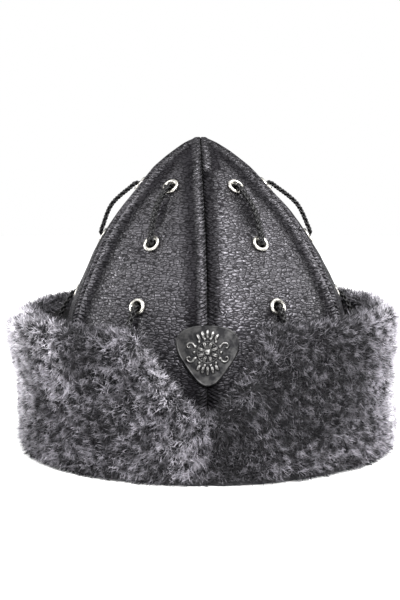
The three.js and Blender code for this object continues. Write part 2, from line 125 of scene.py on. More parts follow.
# height, radius, corner, pull, lean, as shares
CROWN_SECTIONS = np.array(
    [
        (0.0, 1.0, 0.02, 0.0, 0.0),
        (0.2, 0.975, 0.1, 0.2, 0.0),
        (0.37, 0.919, 0.2, 0.8, 0.0),
        (0.49, 0.851, 0.27, 1.0, 0.0),
        (0.59, 0.763, 0.31, 0.8, 0.07),
        (0.677, 0.672, 0.34, 1.0, 0.2),
        (0.765, 0.553, 0.37, 0.7, 0.38),
        (0.847, 0.413, 0.42, 0.8, 0.6),
        (0.915, 0.284, 0.46, 0.4, 0.8),
        (0.967, 0.15, 0.4, 0.1, 0.93),
        (1.0, 0.048, 0.2, 0.0, 1.0),
    ]
)
# across, up, as shares of the notch's half-width and depth
NOTCH_SHAPE = np.array(
    [(0.0, 0.0), (0.16, 0.1), (0.51, 0.4), (0.7, 0.56), (0.85, 0.73), (0.94, 0.88), (1.04, 1.0)]
)
# out (share of FUR_DEPTH), up (share of the height there), drop (share of FUR_LIP)
FUR_SECTION = (
    (0.25, 0.0, 0.0),
    (0.62, 0.0, 0.0),
    (0.86, 0.045, 0.0),
    (0.93, 0.14, 0.0),
    (0.88, 0.42, 0.0),
    (0.97, 0.64, 0.0),
    (1.12, 0.8, 0.0),
    (1.02, 1.0, 0.7),
    (0.66, 1.0, 0.12),
    (0.34, 1.0, 0.0),
    (0.04, 1.0, 0.22),
)
# Soft folds in the leather: gore, across (share of half the gore), height, turn in degrees,
# length, width, rise
FOLDS = (
    (5, 0.86, 0.50, 68, 0.011, 0.0022, 0.0010),
    (5, 0.72, 0.43, 75, 0.012, 0.0030, -0.0009),
    (5, 0.93, 0.40, 95, 0.010, 0.0022, 0.0009),
    (5, -0.45, 0.60, 80, 0.020, 0.0060, -0.0007),
    (0, -0.80, 0.46, 105, 0.014, 0.0030, -0.0009),
    (0, -0.90, 0.36, 85, 0.010, 0.0024, 0.0008),
    (0, 0.45, 0.42, 70, 0.020, 0.0060, -0.0006),
    (1, -0.50, 0.45, 100, 0.022, 0.0060, -0.0009),
    (1, 0.55, 0.62, 80, 0.016, 0.0050, 0.0006),
    (2, -0.50, 0.50, 75, 0.022, 0.0060, -0.0008),
    (2, 0.60, 0.35, 100, 0.016, 0.0050, 0.0006),
    (3, 0.50, 0.48, 105, 0.022, 0.0060, -0.0008),
    (3, -0.55, 0.66, 90, 0.014, 0.0045, 0.0006),
    (4, 0.50, 0.44, 80, 0.020, 0.0055, -0.0009),
    (4, -0.60, 0.58, 98, 0.018, 0.0050, 0.0006),
)

# Paler and darker places on the pile, partly dye and partly painted light: the pale places at both sides
# stand for light caught at the edges, those along the notch for painted highlights, and the dark ones at the
# right front partly for painted shade. Angle from the front in degrees, height, radius, light
PATCHES = (
    (-92, 0.050, 0.062, 0.66),
    (-72, 0.066, 0.028, 0.28),
    (-50, 0.082, 0.016, 0.26),
    (-44, 0.055, 0.013, 0.16),
    (-30, 0.048, 0.020, -0.08),
    (-18, 0.078, 0.009, 0.32),
    (-12, 0.062, 0.008, 0.30),
    (-7, 0.050, 0.007, 0.25),
    (-7, 0.020, 0.009, 0.20),
    (-20, 0.012, 0.016, 0.10),
    (6, 0.022, 0.013, -0.6),
    (16, 0.078, 0.008, 0.40),
    (10, 0.060, 0.007, 0.36),
    (26, 0.045, 0.036, -0.5),
    (44, 0.070, 0.018, -0.2),
    (52, 0.030, 0.022, -0.4),
    (92, 0.055, 0.062, 0.7),
    (74, 0.018, 0.016, 0.25),
    (135, 0.050, 0.030, 0.20),
    (165, 0.040, 0.030, -0.15),
    (-165, 0.050, 0.035, 0.22),
    (-130, 0.040, 0.025, -0.12),
)
# Area lamps: name, place, width, power
LAMPS = (
    ("overhead", (0.0, 0.2, 3.0), 5.0, 110.0),
    ("key", (-1.0, -0.75, 1.05), 0.8, 15.0),
    ("fill", (0.5, -1.2, 1.0), 0.8, 46.0),
    ("front", (0.1, -1.3, 1.5), 0.9, 16.0),
    ("sheen", (0.95, -0.1, 1.45), 0.7, 18.0),
    ("edge_left", (-1.1, 0.25, 0.35), 0.5, 10.0),
    ("edge_right", (1.1, 0.2, 0.3), 0.5, 7.0),
)


# Numbers


def all_round(count):
    """Angles at even steps of a full turn."""
    return np.linspace(0, 2 * math.pi, count, endpoint=False)


def smooth(table, column, place):
    """A column of a table at places along its first column, on a curve through its rows."""
    xs, ys = table[:, 0], table[:, column]
    slopes = np.gradient(ys, xs)
    k = np.clip(np.searchsorted(xs, place) - 1, 0, len(xs) - 2)
    step = xs[k + 1] - xs[k]
    t = np.clip((place - xs[k]) / step, 0, 1)
    rest = 1 - t
    ends = ys[k] * (1 + 2 * t) * rest**2 + ys[k + 1] * (3 - 2 * t) * t**2
    return ends + step * t * rest * (slopes[k] * rest - slopes[k + 1] * t)


def through(points, count, closed=False):
    """Points at even steps on a curve through given points."""
    points = np.asarray(points, float)
    if closed:
        points = np.vstack([points[-3:], points, points[:3]])
    steps = np.sqrt(np.linalg.norm(np.diff(points, axis=0), axis=1)) + 1e-6
    at = np.concatenate([[0], np.cumsum(steps)])
    first, last = (at[3], at[-3]) if closed else (at[0], at[-1])
    table = np.column_stack([at, points])
    fine = np.linspace(first, last, 12 * count)
    curve = np.stack([smooth(table, k + 1, fine) for k in range(points.shape[1])], axis=1)
    run = np.concatenate([[0], np.cumsum(np.linalg.norm(np.diff(curve, axis=0), axis=1))])
    even = np.linspace(0, run[-1], count, endpoint=not closed)
    return np.stack([np.interp(even, run, curve[:, k]) for k in range(points.shape[1])], axis=1)


def smooth_step(value, low, high, first, last):
    share = np.clip((value - low) / (high - low), 0, 1)
    return first + (last - first) * share * share * (3 - 2 * share)


def hump(distance, width):
    return np.exp(-((distance / width) ** 2))


def ripple(points, size, seed):
    """A soft unevenness, from -1 to 1, that repeats at about a size."""
    pick = np.random.default_rng(seed)
    total = np.zeros(points.shape[:-1])
    for _ in range(9):
        way = pick.normal(size=3)
        way *= pick.uniform(0.7, 1.6) * 2 * math.pi / (size * np.linalg.norm(way))
        total += np.sin(points @ way + pick.uniform(0, 2 * math.pi))
    return total / 4.5


# Places


def polar(radius, angle, height):
    x = radius * np.sin(angle) + SHIFT
    y = -radius * DEPTH * np.cos(angle)
    return np.stack(np.broadcast_arrays(x, y, height), axis=-1).astype(float)


def crown_point(radius, angle, height):
    point = polar(radius, angle, CROWN_FOOT + height * CROWN_RISE)
    point[..., 0] += TIP_LEAN * smooth(CROWN_SECTIONS, 4, height)
    return point


def cuff_point(radius, angle, z):
    share = z / CUFF_HEIGHT
    point = polar(radius + CUFF_FLARE * share, angle, z)
    point[..., 0] += CUFF_LEAN * share**2
    return point


def gore_angle(gore):
    return (gore + 0.5) * 2 * HALF_GORE


def badge_seat(angle, height):
    """How much the badge presses the front seam flat."""
    across = HALF_WIDTH * np.sin(angle) / (1.25 * BADGE_HALF_WIDTH)
    up = (height - BADGE_HEIGHT) * CROWN_RISE / (1.3 * BADGE_HALF_HEIGHT)
    return np.where(np.cos(angle) > 0, np.exp(-(across**2) - up**2), 0)


def crown_radius(height, gore, off):
    flat = HALF_WIDTH * smooth(CROWN_SECTIONS, 1, height)
    corner = smooth(CROWN_SECTIONS, 2, height) * (1 - badge_seat(gore_angle(gore) + off, height))
    return flat * (1 - corner + corner / np.cos(off))


def seat_on(gore, off, height, lift):
    """A frame on the crown: columns X along the foot, Y up the gore, Z out, and the place."""

    def face(h, turn):
        h = np.float64(h)
        return crown_point(crown_radius(h, gore, off) + lift, gore_angle(gore) + off + turn, h)

    near = 0.03
    x = face(height, near) - face(height, -near)
    x /= np.linalg.norm(x)
    z = np.cross(x, face(height + near, 0) - face(height - near, 0))
    z /= np.linalg.norm(z)
    return np.column_stack([x, np.cross(z, x), z, face(height, 0)])


def on_seat(seat, x, y, z):
    """Points in a seat's own frame, as points of the hat."""
    local = np.stack(np.broadcast_arrays(x, y, z), axis=-1)
    return local @ seat[:, :3].T + seat[:, 3]


def eyelet_seat(gore, height):
    pull = bpy.context.scene.kalpak_crown.lace_pull
    return seat_on(gore, 0.0, height, -pull * smooth(CROWN_SECTIONS, 3, np.float64(height)))


def from_front(angle):
    return np.abs(np.arctan2(np.sin(angle), np.cos(angle)))


def cuff_top(angle, wider=0.0):
    """Height of the cuff's upper edge, with the notch as it is or wider on each side."""
    arc = np.maximum(0, from_front(angle) * FUR_OUTER - wider)
    across = np.minimum(arc / NOTCH_HALF_WIDTH, NOTCH_SHAPE[-1, 0])
    cut = 1 - np.clip(smooth(NOTCH_SHAPE, 1, across), 0, 1)
    return CUFF_HEIGHT + RIM_LEAN * np.sin(angle) - cut * NOTCH_DEPTH


# Meshes


def mesh_object(name, points, faces, edges=()):
    mesh = bpy.data.meshes.new(name)
    faces = faces.tolist() if isinstance(faces, np.ndarray) else faces
    mesh.from_pydata(np.reshape(points, (-1, 3)).tolist(), list(edges), faces)
    mesh.validate()
    piece = bpy.data.objects.new(name, mesh)
    bpy.context.scene.collection.objects.link(piece)
    return piece


def keep_values(piece, name, values, kind="FLOAT"):
    values = np.asarray(values, np.float32)
    layer = piece.data.attributes.new(name, kind, "POINT")
    layer.data.foreach_set("vector" if kind == "FLOAT_VECTOR" else "value", values.ravel())


def grid_faces(rows, columns, close_rows=False, close_columns=False):
    i = np.arange(rows if close_rows else rows - 1)[:, None]
    j = np.arange(columns if close_columns else columns - 1)[None, :]
    up, across = (i + 1) % rows, (j + 1) % columns
    corners = [i * columns + j, i * columns + across, up * columns + across, up * columns + j]
    return np.stack(np.broadcast_arrays(*corners), axis=-1).reshape(-1, 4)


def shade_smooth(piece):
    piece.data.polygons.foreach_set("use_smooth", [True] * len(piece.data.polygons))
    piece.data.update()


def settle(piece):
    """Makes what a piece's modifiers show its own plain mesh, and removes them."""
    graph = bpy.context.evaluated_depsgraph_get()
    made = bpy.data.meshes.new_from_object(
        piece.evaluated_get(graph), preserve_all_data_layers=True, depsgraph=graph
    )
    piece.modifiers.clear()
    old = piece.data
    piece.data = made
    bpy.data.meshes.remove(old)
    made.name = piece.name
    shade_smooth(piece)


def finish_piece(piece, coat, nodes):
    if not piece.data.polygons:
        raise RuntimeError(f"{piece.name} came out empty")
    if coat:
        piece.data.materials.append(coat)
    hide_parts(*nodes)
    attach(piece, "root")


# Node trees


class Wire:
    """An output in a node tree. Arithmetic on it adds the nodes that work it out."""

    def __init__(self, socket):
        self.socket = socket
        self.tree = socket.id_data

    def __getitem__(self, name):
        """Another output of the same node."""
        return Wire(self.socket.node.outputs[name])

    def __add__(self, other):
        return work("ADD", self, other)

    def __sub__(self, other):
        return work("SUBTRACT", self, other)

    def __rsub__(self, other):
        return work("SUBTRACT", other, self)

    def __mul__(self, other):
        return work("MULTIPLY", self, other)

    def __rtruediv__(self, other):
        return work("DIVIDE", other, self)

    def __truediv__(self, other):
        return work("DIVIDE", self, other)


def is_vector(value):
    return isinstance(value, tuple) or isinstance(value, Wire) and value.socket.type in ("VECTOR", "RGBA")


def put(tree, kind, inputs=None, output=0, **settings):
    """An output of a new node, with its settings, its values and what feeds it."""
    made = tree.nodes.new(kind)
    for name, value in settings.items():
        setattr(made, name, value)
    for key, value in (inputs or {}).items():
        if isinstance(value, Wire):
            tree.links.new(value.socket, made.inputs[key])
        else:
            made.inputs[key].default_value = value
    return Wire(made.outputs[output])


def feed(node, **wires):
    """Links what feeds a node's inputs, named with an underscore for each space."""
    for label, wire in wires.items():
        wire.tree.links.new(wire.socket, node.inputs[label.replace("_", " ")])


def work(operation, *values):
    """A maths node's result, on numbers or on vectors. A vector times a number is scaled."""
    tree = next(value.tree for value in values if isinstance(value, Wire))
    inputs = dict(enumerate(values))
    wide = [is_vector(value) for value in values]
    if operation == "MULTIPLY" and wide == [True, False]:
        operation, inputs = "SCALE", {0: values[0], "Scale": values[1]}
    kind = "ShaderNodeVectorMath" if any(wide) else "ShaderNodeMath"
    return put(tree, kind, inputs, operation=operation)


def clamped(wire):
    """A maths node's result, kept between 0 and 1."""
    wire.socket.node.use_clamp = True
    return wire


def spread(value, low, high, to_low=0.0, to_high=1.0, soft=True):
    """A value moved from one range to another."""
    inputs = {"Value": value, "From Min": low, "From Max": high, "To Min": to_low, "To Max": to_high}
    kind = "SMOOTHSTEP" if soft else "LINEAR"
    return put(value.tree, "ShaderNodeMapRange", inputs, interpolation_type=kind)


def blend(share, first, second):
    return put(share.tree, "ShaderNodeMix", {0: share, 6: first, 7: second}, 2, data_type="RGBA")


def opaque(colour, share=1):
    """A colour with its opacity, as it is or made darker or paler by a share."""
    return tuple(share * part for part in colour) + (1,)


def clouds(place, scale, detail=2.0, roughness=0.5):
    inputs = {"Vector": place, "Scale": scale, "Detail": detail, "Roughness": roughness}
    return put(place.tree, "ShaderNodeTexNoise", inputs)


def swirl(place, scale, detail):
    """Clouds as a direction, with no bias."""
    return clouds(place, scale, detail)["Color"] - (0.5, 0.5, 0.5)


def cracks(place, scale, randomness):
    inputs = {"Vector": place, "Scale": scale, "Randomness": randomness}
    return put(place.tree, "ShaderNodeTexVoronoi", inputs, feature="DISTANCE_TO_EDGE")


def bump(height, depth, strength):
    return put(height.tree, "ShaderNodeBump", {"Height": height, "Distance": depth, "Strength": strength})


def held(tree, name):
    return put(tree, "ShaderNodeAttribute", output="Fac", attribute_name=name)


def object_place(tree):
    return put(tree, "ShaderNodeTexCoord", output="Object")


def new_tree(kind, name, inputs, outputs):
    """An empty group. An input is given by its default, or by its kind if it has none."""
    tree = bpy.data.node_groups.new(name, kind)
    for label, value in inputs.items():
        socket_kind = value if isinstance(value, str) else type(value).__name__.capitalize()
        socket = tree.interface.new_socket(name=label, in_out="INPUT", socket_type=f"NodeSocket{socket_kind}")
        if socket_kind is not value:
            socket.default_value = value
    for label, socket_kind in outputs.items():
        tree.interface.new_socket(name=label, in_out="OUTPUT", socket_type=f"NodeSocket{socket_kind}")
    given = tree.nodes.new("NodeGroupInput")
    return tree, Wire(given.outputs[0]), tree.nodes.new("NodeGroupOutput")


# Effects that materials share


def make_hide_grain():
    """Pebbled hide: rows of flattish cells between creases, with fine wrinkles."""
    inputs = {"Place": "Vector", "Cell": 0.002, "Squash": 1.4}
    outputs = {"Height": "Float", "Crease": "Float"}
    tree, given, out = new_tree("ShaderNodeTree", "Hide grain", inputs, outputs)
    stretch = put(tree, "ShaderNodeCombineXYZ", {0: 1.0, 1: 1.0, 2: given["Squash"]})
    place = given["Place"] * stretch * (1.0 / given["Cell"])
    place = place + swirl(place, 0.45, 2.0) * 0.6
    small = cracks(place, 1.0, 0.75)
    deep = spread(cracks(place, 0.45, 1.0), 0.0, 0.07, 0.7, 1.0)
    wrinkles = clouds(place, 4.5, 3.0, 0.6)
    height = spread(small, 0.0, 0.42) * deep + wrinkles * 0.07
    feed(out, Height=height, Crease=1.0 - spread(small, 0.0, 0.17) * deep)
    return tree


def make_tarnish():
    """Handled metal: cloudy darkening that settles low, and fine scuffs."""
    inputs = {"Place": "Vector", "Rise": 1.0, "Patch": 0.006}
    tree, given, out = new_tree("ShaderNodeTree", "Tarnish", inputs, {"Dark": "Float", "Scuff": "Float"})
    place = given["Place"] * (1.0 / given["Patch"])
    low = spread(given["Rise"], 0.05, 0.75, 1.0, 0.0)
    cloudy = spread(clouds(place, 1.0, 3.0, 0.6), 0.35, 0.75, -0.15, 0.18)
    feed(out, Dark=clamped(low + cloudy), Scuff=clouds(place, 14.0, 4.0, 0.7))
    return tree


def make_mottling():
    """Pile with large pale and dark patches, from dye and from painted light, and small tufts; darker towards
    the skin, for a darker undercoat with painted shade deep in the pile.
    """
    inputs = {"Place": "Vector", "Along": 1.0, "Tint": 0.5, "Dye": 0.0}
    tree, given, out = new_tree("ShaderNodeTree", "Mottling", inputs, {"Patch": "Float", "Light": "Float"})
    place, dye = given["Place"], given["Dye"]
    patch = clamped(spread(clouds(place, 26.0, 3.0, 0.55), 0.34, 0.66) + dye)
    tuft = spread(clouds(place, 210.0), 0.37, 0.65, -0.46, 0.36)
    tint = spread(given["Tint"], 0.0, 1.0, -0.2, 0.22, soft=False)
    tip = spread(given["Along"], 0.2, 1.0, 0.0, 0.7)
    light = clamped(tip + tuft + tint + (patch - 0.5) * 0.36 + dye * 0.22)
    feed(out, Patch=patch, Light=light)
    return tree


EFFECTS = {"Hide grain": make_hide_grain, "Tarnish": make_tarnish, "Mottling": make_mottling}


def use(tree, name, **values):
    """A shared effect's first output. It is built when it is first asked for."""
    group = bpy.data.node_groups.get(name) or EFFECTS[name]()
    return put(tree, "ShaderNodeGroup", values, node_tree=group)


# Materials


def material(name, **plain):
    """A new material with a Principled shader and its plain values."""
    made = bpy.data.materials.new(name)
    made.use_nodes = True
    tree = made.node_tree
    shader = next(n for n in tree.nodes if n.type == "BSDF_PRINCIPLED")
    for label, value in plain.items():
        shader.inputs[label.replace("_", " ")].default_value = value
    return made, tree, shader


def hide_material():
    """Black pebbled leather, puckered where the thread draws a seam in."""
    look = bpy.context.scene.kalpak_crown
    made, tree, shader = material("crown_hide", Specular_Tint=(0.95, 0.92, 1.0, 1))
    place, seam, up = object_place(tree), held(tree, "seam"), held(tree, "up")
    flat_hide = put(tree, "ShaderNodeCombineXYZ", {0: held(tree, "wide"), 2: held(tree, "long")})
    grain = use(tree, "Hide grain", Place=flat_hide, Cell=look.grain_cell, Squash=2.3)
    crease = grain["Crease"]
    turns = (up + seam * 0.55) * (2 * math.pi / look.pucker)
    wave = work("SINE", turns + clouds(place, 230.0, 1.0) * 5.0)
    near_seam = spread(seam, 0.0, 0.0012) * spread(seam, 0.0028, 0.0085, 1.0, 0.0)
    height = grain["Height"] + wave * 1.5 * near_seam
    smudge = clouds(place, 38.0, 3.0, 0.6)
    rough = spread(crease, 0.0, 1.0, look.roughness, look.roughness + 0.22)
    rough = rough + spread(smudge, 0.3, 0.7, -0.05, 0.06)
    # Painted shade in the grain's creases: the colour is darker there, and the shine below is cut there too.
    colour = blend(crease, opaque(look.hide), opaque(look.hide, 0.3))
    colour = blend(spread(smudge, 0.5, 0.75) * 0.35, colour, opaque(look.hide, 1.9))
    outside = spread(seam, 0.0002, 0.0007)
    colour = blend(outside, (0.002, 0.002, 0.002, 1), colour)
    # Painted shadow under each lace, between its eyelets: the shine is cut there.
    outside = outside * spread(held(tree, "hollow"), 0.15, 0.9, 1.0, 0.2)
    shine = spread(crease, 0.0, 0.9, 0.95, 0.14) * outside
    # Painted light: the shine is cut low in the notch, near the tip and in the valleys beside the welts for
    # painted shade, and raised on the welts for a painted highlight.
    shine = shine * spread(up, 0.045, 0.1, 0.3, 1.0) * spread(up, 0.135, 0.18, 1.0, 0.45)
    shine = shine * spread(held(tree, "valley"), 0.0, 1.0, 1.0, 0.12)
    shine = shine * spread(held(tree, "crest"), 0.0, 1.0, 1.0, 1.8)
    normal = bump(height, 0.0003, 1.0)
    feed(shader, Base_Color=colour, Roughness=rough, Specular_IOR_Level=shine, Normal=normal)
    return made


def strand_material():
    """Flat strips of black leather, glossier than the crown."""
    made, tree, shader = material("braid_leather", Specular_IOR_Level=0.2)
    grain = use(tree, "Hide grain", Place=object_place(tree), Cell=0.0009, Squash=0.6)
    crease = grain["Crease"]
    # Painted shade in the grain's creases: a darker colour there.
    colour = blend(crease, (0.006, 0.0057, 0.0063, 1), (0.002, 0.002, 0.002, 1))
    rough = spread(crease, 0.0, 1.0, 0.17, 0.34)
    feed(shader, Base_Color=colour, Roughness=rough, Normal=bump(grain, 0.00008, 0.4))
    return made


def lining_material():
    """Dull black backing with a fine grain."""
    made, tree, shader = material("backing_lining", Specular_IOR_Level=0.3)
    grain = use(tree, "Hide grain", Place=object_place(tree), Cell=0.0012, Squash=1.0)
    # Painted shade in the grain's creases: a darker colour there.
    colour = blend(grain["Crease"], (0.013, 0.012, 0.013, 1), (0.005, 0.005, 0.005, 1))
    rough = spread(grain, 0.0, 1.0, 0.9, 0.7)
    feed(shader, Base_Color=colour, Roughness=rough, Normal=bump(grain, 0.0002, 0.5))
    return made


def nickel_material():
    """Polished plating with a faint haze."""
    tone = bpy.context.scene.kalpak_trim.nickel
    made, tree, shader = material("polished_nickel", Metallic=1.0)
    dark = use(tree, "Tarnish", Place=object_place(tree), Rise=1.0, Patch=0.004)
    scuff = dark["Scuff"]
    rough = spread(scuff, 0.3, 0.7, 0.22, 0.34)
    colour = blend(dark, opaque(tone), opaque(tone, 0.55))
    feed(shader, Base_Color=colour, Roughness=rough, Normal=bump(scuff, 0.00002, 0.25))
    return made


def pewter_material():
    """Antiqued metal: black in its recesses and bright where hands rub it."""
    tone = bpy.context.scene.kalpak_trim.pewter
    made, tree, shader = material("antiqued_pewter", Metallic=1.0)
    dark = use(tree, "Tarnish", Place=object_place(tree), Rise=held(tree, "rise"), Patch=0.005)
    scuff = dark["Scuff"]
    colour = blend(dark, opaque(tone), (0.014, 0.014, 0.015, 1))
    rough = spread(dark, 0.0, 1.0, 0.26, 0.52) + spread(scuff, 0.3, 0.7, -0.04, 0.08)
    feed(shader, Base_Color=colour, Roughness=rough, Normal=bump(scuff, 0.00006, 0.5))
    return made


def fur_material(name, strands):
    """Short curly pile, grey with pale tips. The strands carry how far along them a place is."""
    look = bpy.context.scene.kalpak_fur
    made, tree, shader = material(
        name,
        Roughness=0.75,
        Specular_IOR_Level=0.25,
        Sheen_Roughness=0.45,
        Sheen_Weight=look.sheen,
        Sheen_Tint=(0.86, 0.84, 0.92, 1),
    )
    place, dye = object_place(tree), held(tree, "dye")
    # Without strands, the skin takes the colour of the pile low down: a darker undercoat with painted shade.
    along, tint = (held(tree, "along"), held(tree, "tint")) if strands else (0.25, 0.4)
    mottle = use(tree, "Mottling", Place=place, Along=along, Tint=tint, Dye=dye)
    pale = blend(mottle["Patch"], opaque(look.tip, 0.5), opaque(look.tip))
    # The frost colour is laid where the pile is palest: in pale dye, and in the painted light at the edges
    # and along the notch.
    pale = blend(spread(dye, 0.05, 0.75), pale, opaque(look.frost))
    feed(shader, Base_Color=blend(mottle["Light"], opaque(look.root), pale))
    if not strands:
        feed(shader, Normal=bump(clouds(place, 420.0, 3.0, 0.65), 0.0015, 0.9))
    return made


# Sizes and colours that a user would change


def a_length(name, description, default):
    return bpy.props.FloatProperty(name=name, description=description, default=default, unit="LENGTH")


def a_factor(name, description, default):
    return bpy.props.FloatProperty(name=name, description=description, default=default, subtype="FACTOR")


def a_colour(name, description, default):
    return bpy.props.FloatVectorProperty(name=name, description=description, default=default, subtype="COLOR")


class KalpakCrownLook(bpy.types.PropertyGroup):
    welt: a_length("Welt height", "Rise of the leather beside a seam", 0.0017)
    seam_depth: a_length("Seam depth", "How far the leather turns in at a seam", 0.0016)
    lace_pull: a_length("Lace pull", "How far a lace draws its gore in", 0.002)
    lace_groove: a_length("Lace groove", "Depth of the crease that lies under a lace", 0.003)
    columns: bpy.props.IntProperty(name="Columns", description="Faces across a gore", default=64, min=16)
    rows: bpy.props.IntProperty(name="Rows", description="Faces up a gore", default=112, min=24)
    grain_cell: a_length("Grain", "Width of a pebble in the hide", 0.0033)
    pucker: a_length("Pucker", "Distance between the puckers along a seam", 0.0021)
    roughness: a_factor("Roughness", "Roughness of the hide's high spots", 0.36)
    hide: a_colour("Hide", "Colour of the leather", (0.009, 0.0085, 0.0098))


class KalpakTrimLook(bpy.types.PropertyGroup):
    pitch: a_length("Braid pitch", "Length of one full turn of the braid", 0.0118)
    strand_width: a_length("Strand width", "Width of one strip of the braid", 0.0023)
    strand_thickness: a_length("Strand thickness", "Thickness of one strip", 0.0013)
    nickel: a_colour("Nickel", "Colour of the eyelets", (0.46, 0.445, 0.41))
    pewter: a_colour("Pewter", "Colour of the badge's high spots", (0.155, 0.152, 0.149))


class KalpakFurLook(bpy.types.PropertyGroup):
    pile: a_length("Pile", "Length of a strand", 0.0056)
    width: a_length("Strand", "Width of a strand at its root", 0.0006)
    density: bpy.props.FloatProperty(
        name="Density", description="Strands on each square metre", default=2.3e6, min=1000
    )
    inset: a_length("Skin depth", "How far the skin lies under the tips", 0.0025)
    sheen: a_factor("Sheen", "Light caught by the pile at its edge", 0.1)
    root: a_colour("Root", "Colour at the skin", (0.007, 0.0067, 0.0078))
    tip: a_colour("Tip", "Colour of the tips", (0.315, 0.302, 0.336))
    frost: a_colour("Frost", "Colour of the tips in the palest places", (0.74, 0.72, 0.765))


class KalpakStageLook(bpy.types.PropertyGroup):
    floor: a_colour("Floor", "Colour of the floor", (0.9, 0.9, 0.9))
    floor_radius: a_length("Floor radius", "Reach of the round floor", 1.5)
    sky: bpy.props.FloatProperty(
        name="Sky", description="Brightness of the room's even light", default=0.22, min=0
    )
    distance: a_length("Camera distance", "From the hat's middle", 0.9)
    height: a_length("Camera height", "Above the floor", 0.2042)
    pitch: bpy.props.FloatProperty(
        name="Camera pitch", description="How far it looks down", default=math.radians(7.3), unit="ROTATION"
    )
    lens: bpy.props.FloatProperty(name="Lens", description="Focal length in millimetres", default=87.1)


# Pieces


def between_eyelets(height):
    """Where a lace lies outside: 1 midway between its two eyelets, 0 at them."""
    low, third, second, top = EYELET_HEIGHTS
    lower = hump(height - (low + third) / 2, 0.36 * (third - low))
    return lower + hump(height - (second + top) / 2, 0.36 * (top - second))


def lift_of(look, gore, off, height, seam, points, seats):
    """How far the leather stands off its plain section."""
    flat = HALF_WIDTH * smooth(CROWN_SECTIONS, 1, height)
    shrink = np.minimum(1, flat * HALF_GORE / 0.016)
    pressed = 1 - np.clip(1.8 * badge_seat(gore_angle(gore) + off, height), 0, 1)
    welt = np.full_like(seam, look.welt)
    groove = np.full_like(seam, look.seam_depth)
    if gore == GORES - 1:
        welt = np.where(off > 0, 1.35 * look.welt, welt)
    if gore == 0:
        welt = np.where(off < 0, 0.35 * look.welt, welt)
        valley = np.where(off < 0, hump(seam, 0.009) * hump(height - 0.6, 0.35), 0)
        groove = groove + 0.0009 * valley
    lift = shrink * (welt * hump(seam - 0.0031 * shrink, 0.0021) - groove * hump(seam, 0.0010))
    lift -= 0.0007 * shrink * hump(seam - 0.0082, 0.0022)
    lift = lift * pressed
    arc = flat * off
    lift -= look.lace_pull * smooth(CROWN_SECTIONS, 3, height) * hump(arc, 0.012) * shrink
    lift -= look.lace_groove * hump(arc, 0.0036) * between_eyelets(height)
    for row in FOLDS:
        if row[0] == gore:
            _, across, up, turn, length, width, rise = row
            side = arc - across * flat * HALF_GORE
            along = (height - up) * CROWN_RISE
            cos, sin = math.cos(math.radians(turn)), math.sin(math.radians(turn))
            lift += rise * hump(side * cos + along * sin, length) * hump(along * cos - side * sin, width)
    for seat in seats:
        distance = np.linalg.norm(points - seat[:, 3], axis=-1)
        lift -= 0.0009 * hump(distance, 0.0075)
    lift = lift + 0.0004 * smooth(CROWN_SECTIONS, 1, height) * ripple(points, 0.045, 7 + gore)
    return lift + 0.00012 * ripple(points, 0.012, 17 + gore)


def rubbed(gore, off, height, seam):
    """From 0 to 1: where a gore's welts get a painted highlight, and where the valleys beside them get
    painted shade.
    """
    plain = (gore == 0) & (off < 0) & (height < 0.9)
    crest = smooth_step(seam, 0.0012, 0.0026, 0, 1) * smooth_step(seam, 0.0034, 0.005, 1, 0)
    valley = smooth_step(seam, 0.004, 0.0068, 0, 1) * smooth_step(seam, 0.008, 0.018, 1, 0)
    broad = smooth_step(seam, 0.003, 0.0125, 0.9, 0)
    return np.where(plain, 0.1 * crest, crest), np.where(plain, broad, valley)


def close_tip(points, radius, angle, height, dent):
    """Rounds a gore's top over, with a dip at its seams, and adds rings of points up to the axis."""
    points[-1, :, 2] -= 0.0009 + 0.0007 * dent
    points[-2, :, 2] -= 0.0003 + 0.0007 * dent
    rings = []
    for share, drop in ((0.8, 0.0002), (0.6, -0.0002), (0.4, -0.0002), (0.24, 0.0001), (0.12, 0.0008)):
        ring = crown_point(np.maximum(TIP_BLUNT, radius * share), angle, height)
        ring[:, 2] -= drop + 0.0012 * dent
        rings.append(ring)
    return np.concatenate([points, rings])


def cut_holes(points, faces, seats):
    """The faces left around the eyelets' holes. It moves the points around a hole onto its circle."""
    spots = []
    for seat in seats:
        local = (points - seat[:, 3]) @ seat[:, :3]
        spots.append((seat, local, np.hypot(local[:, 0], local[:, 1]), np.abs(local[:, 2]) < HOLE_DEPTH))
    gone = np.any([(reach < HOLE_CUT) & level for _, _, reach, level in spots], axis=0)
    hit = gone[faces].any(axis=1)
    ring = np.zeros(len(points), bool)
    ring[faces[hit]] = True
    ring &= ~gone
    for seat, local, reach, level in spots:
        near = ring & (reach < HOLE_REACH) & level
        out = local[near, :2] / reach[near, None]
        points[near] += ((HOLE_RADIUS - reach[near])[:, None] * out) @ seat[:, :2].T
    return faces[~hit]


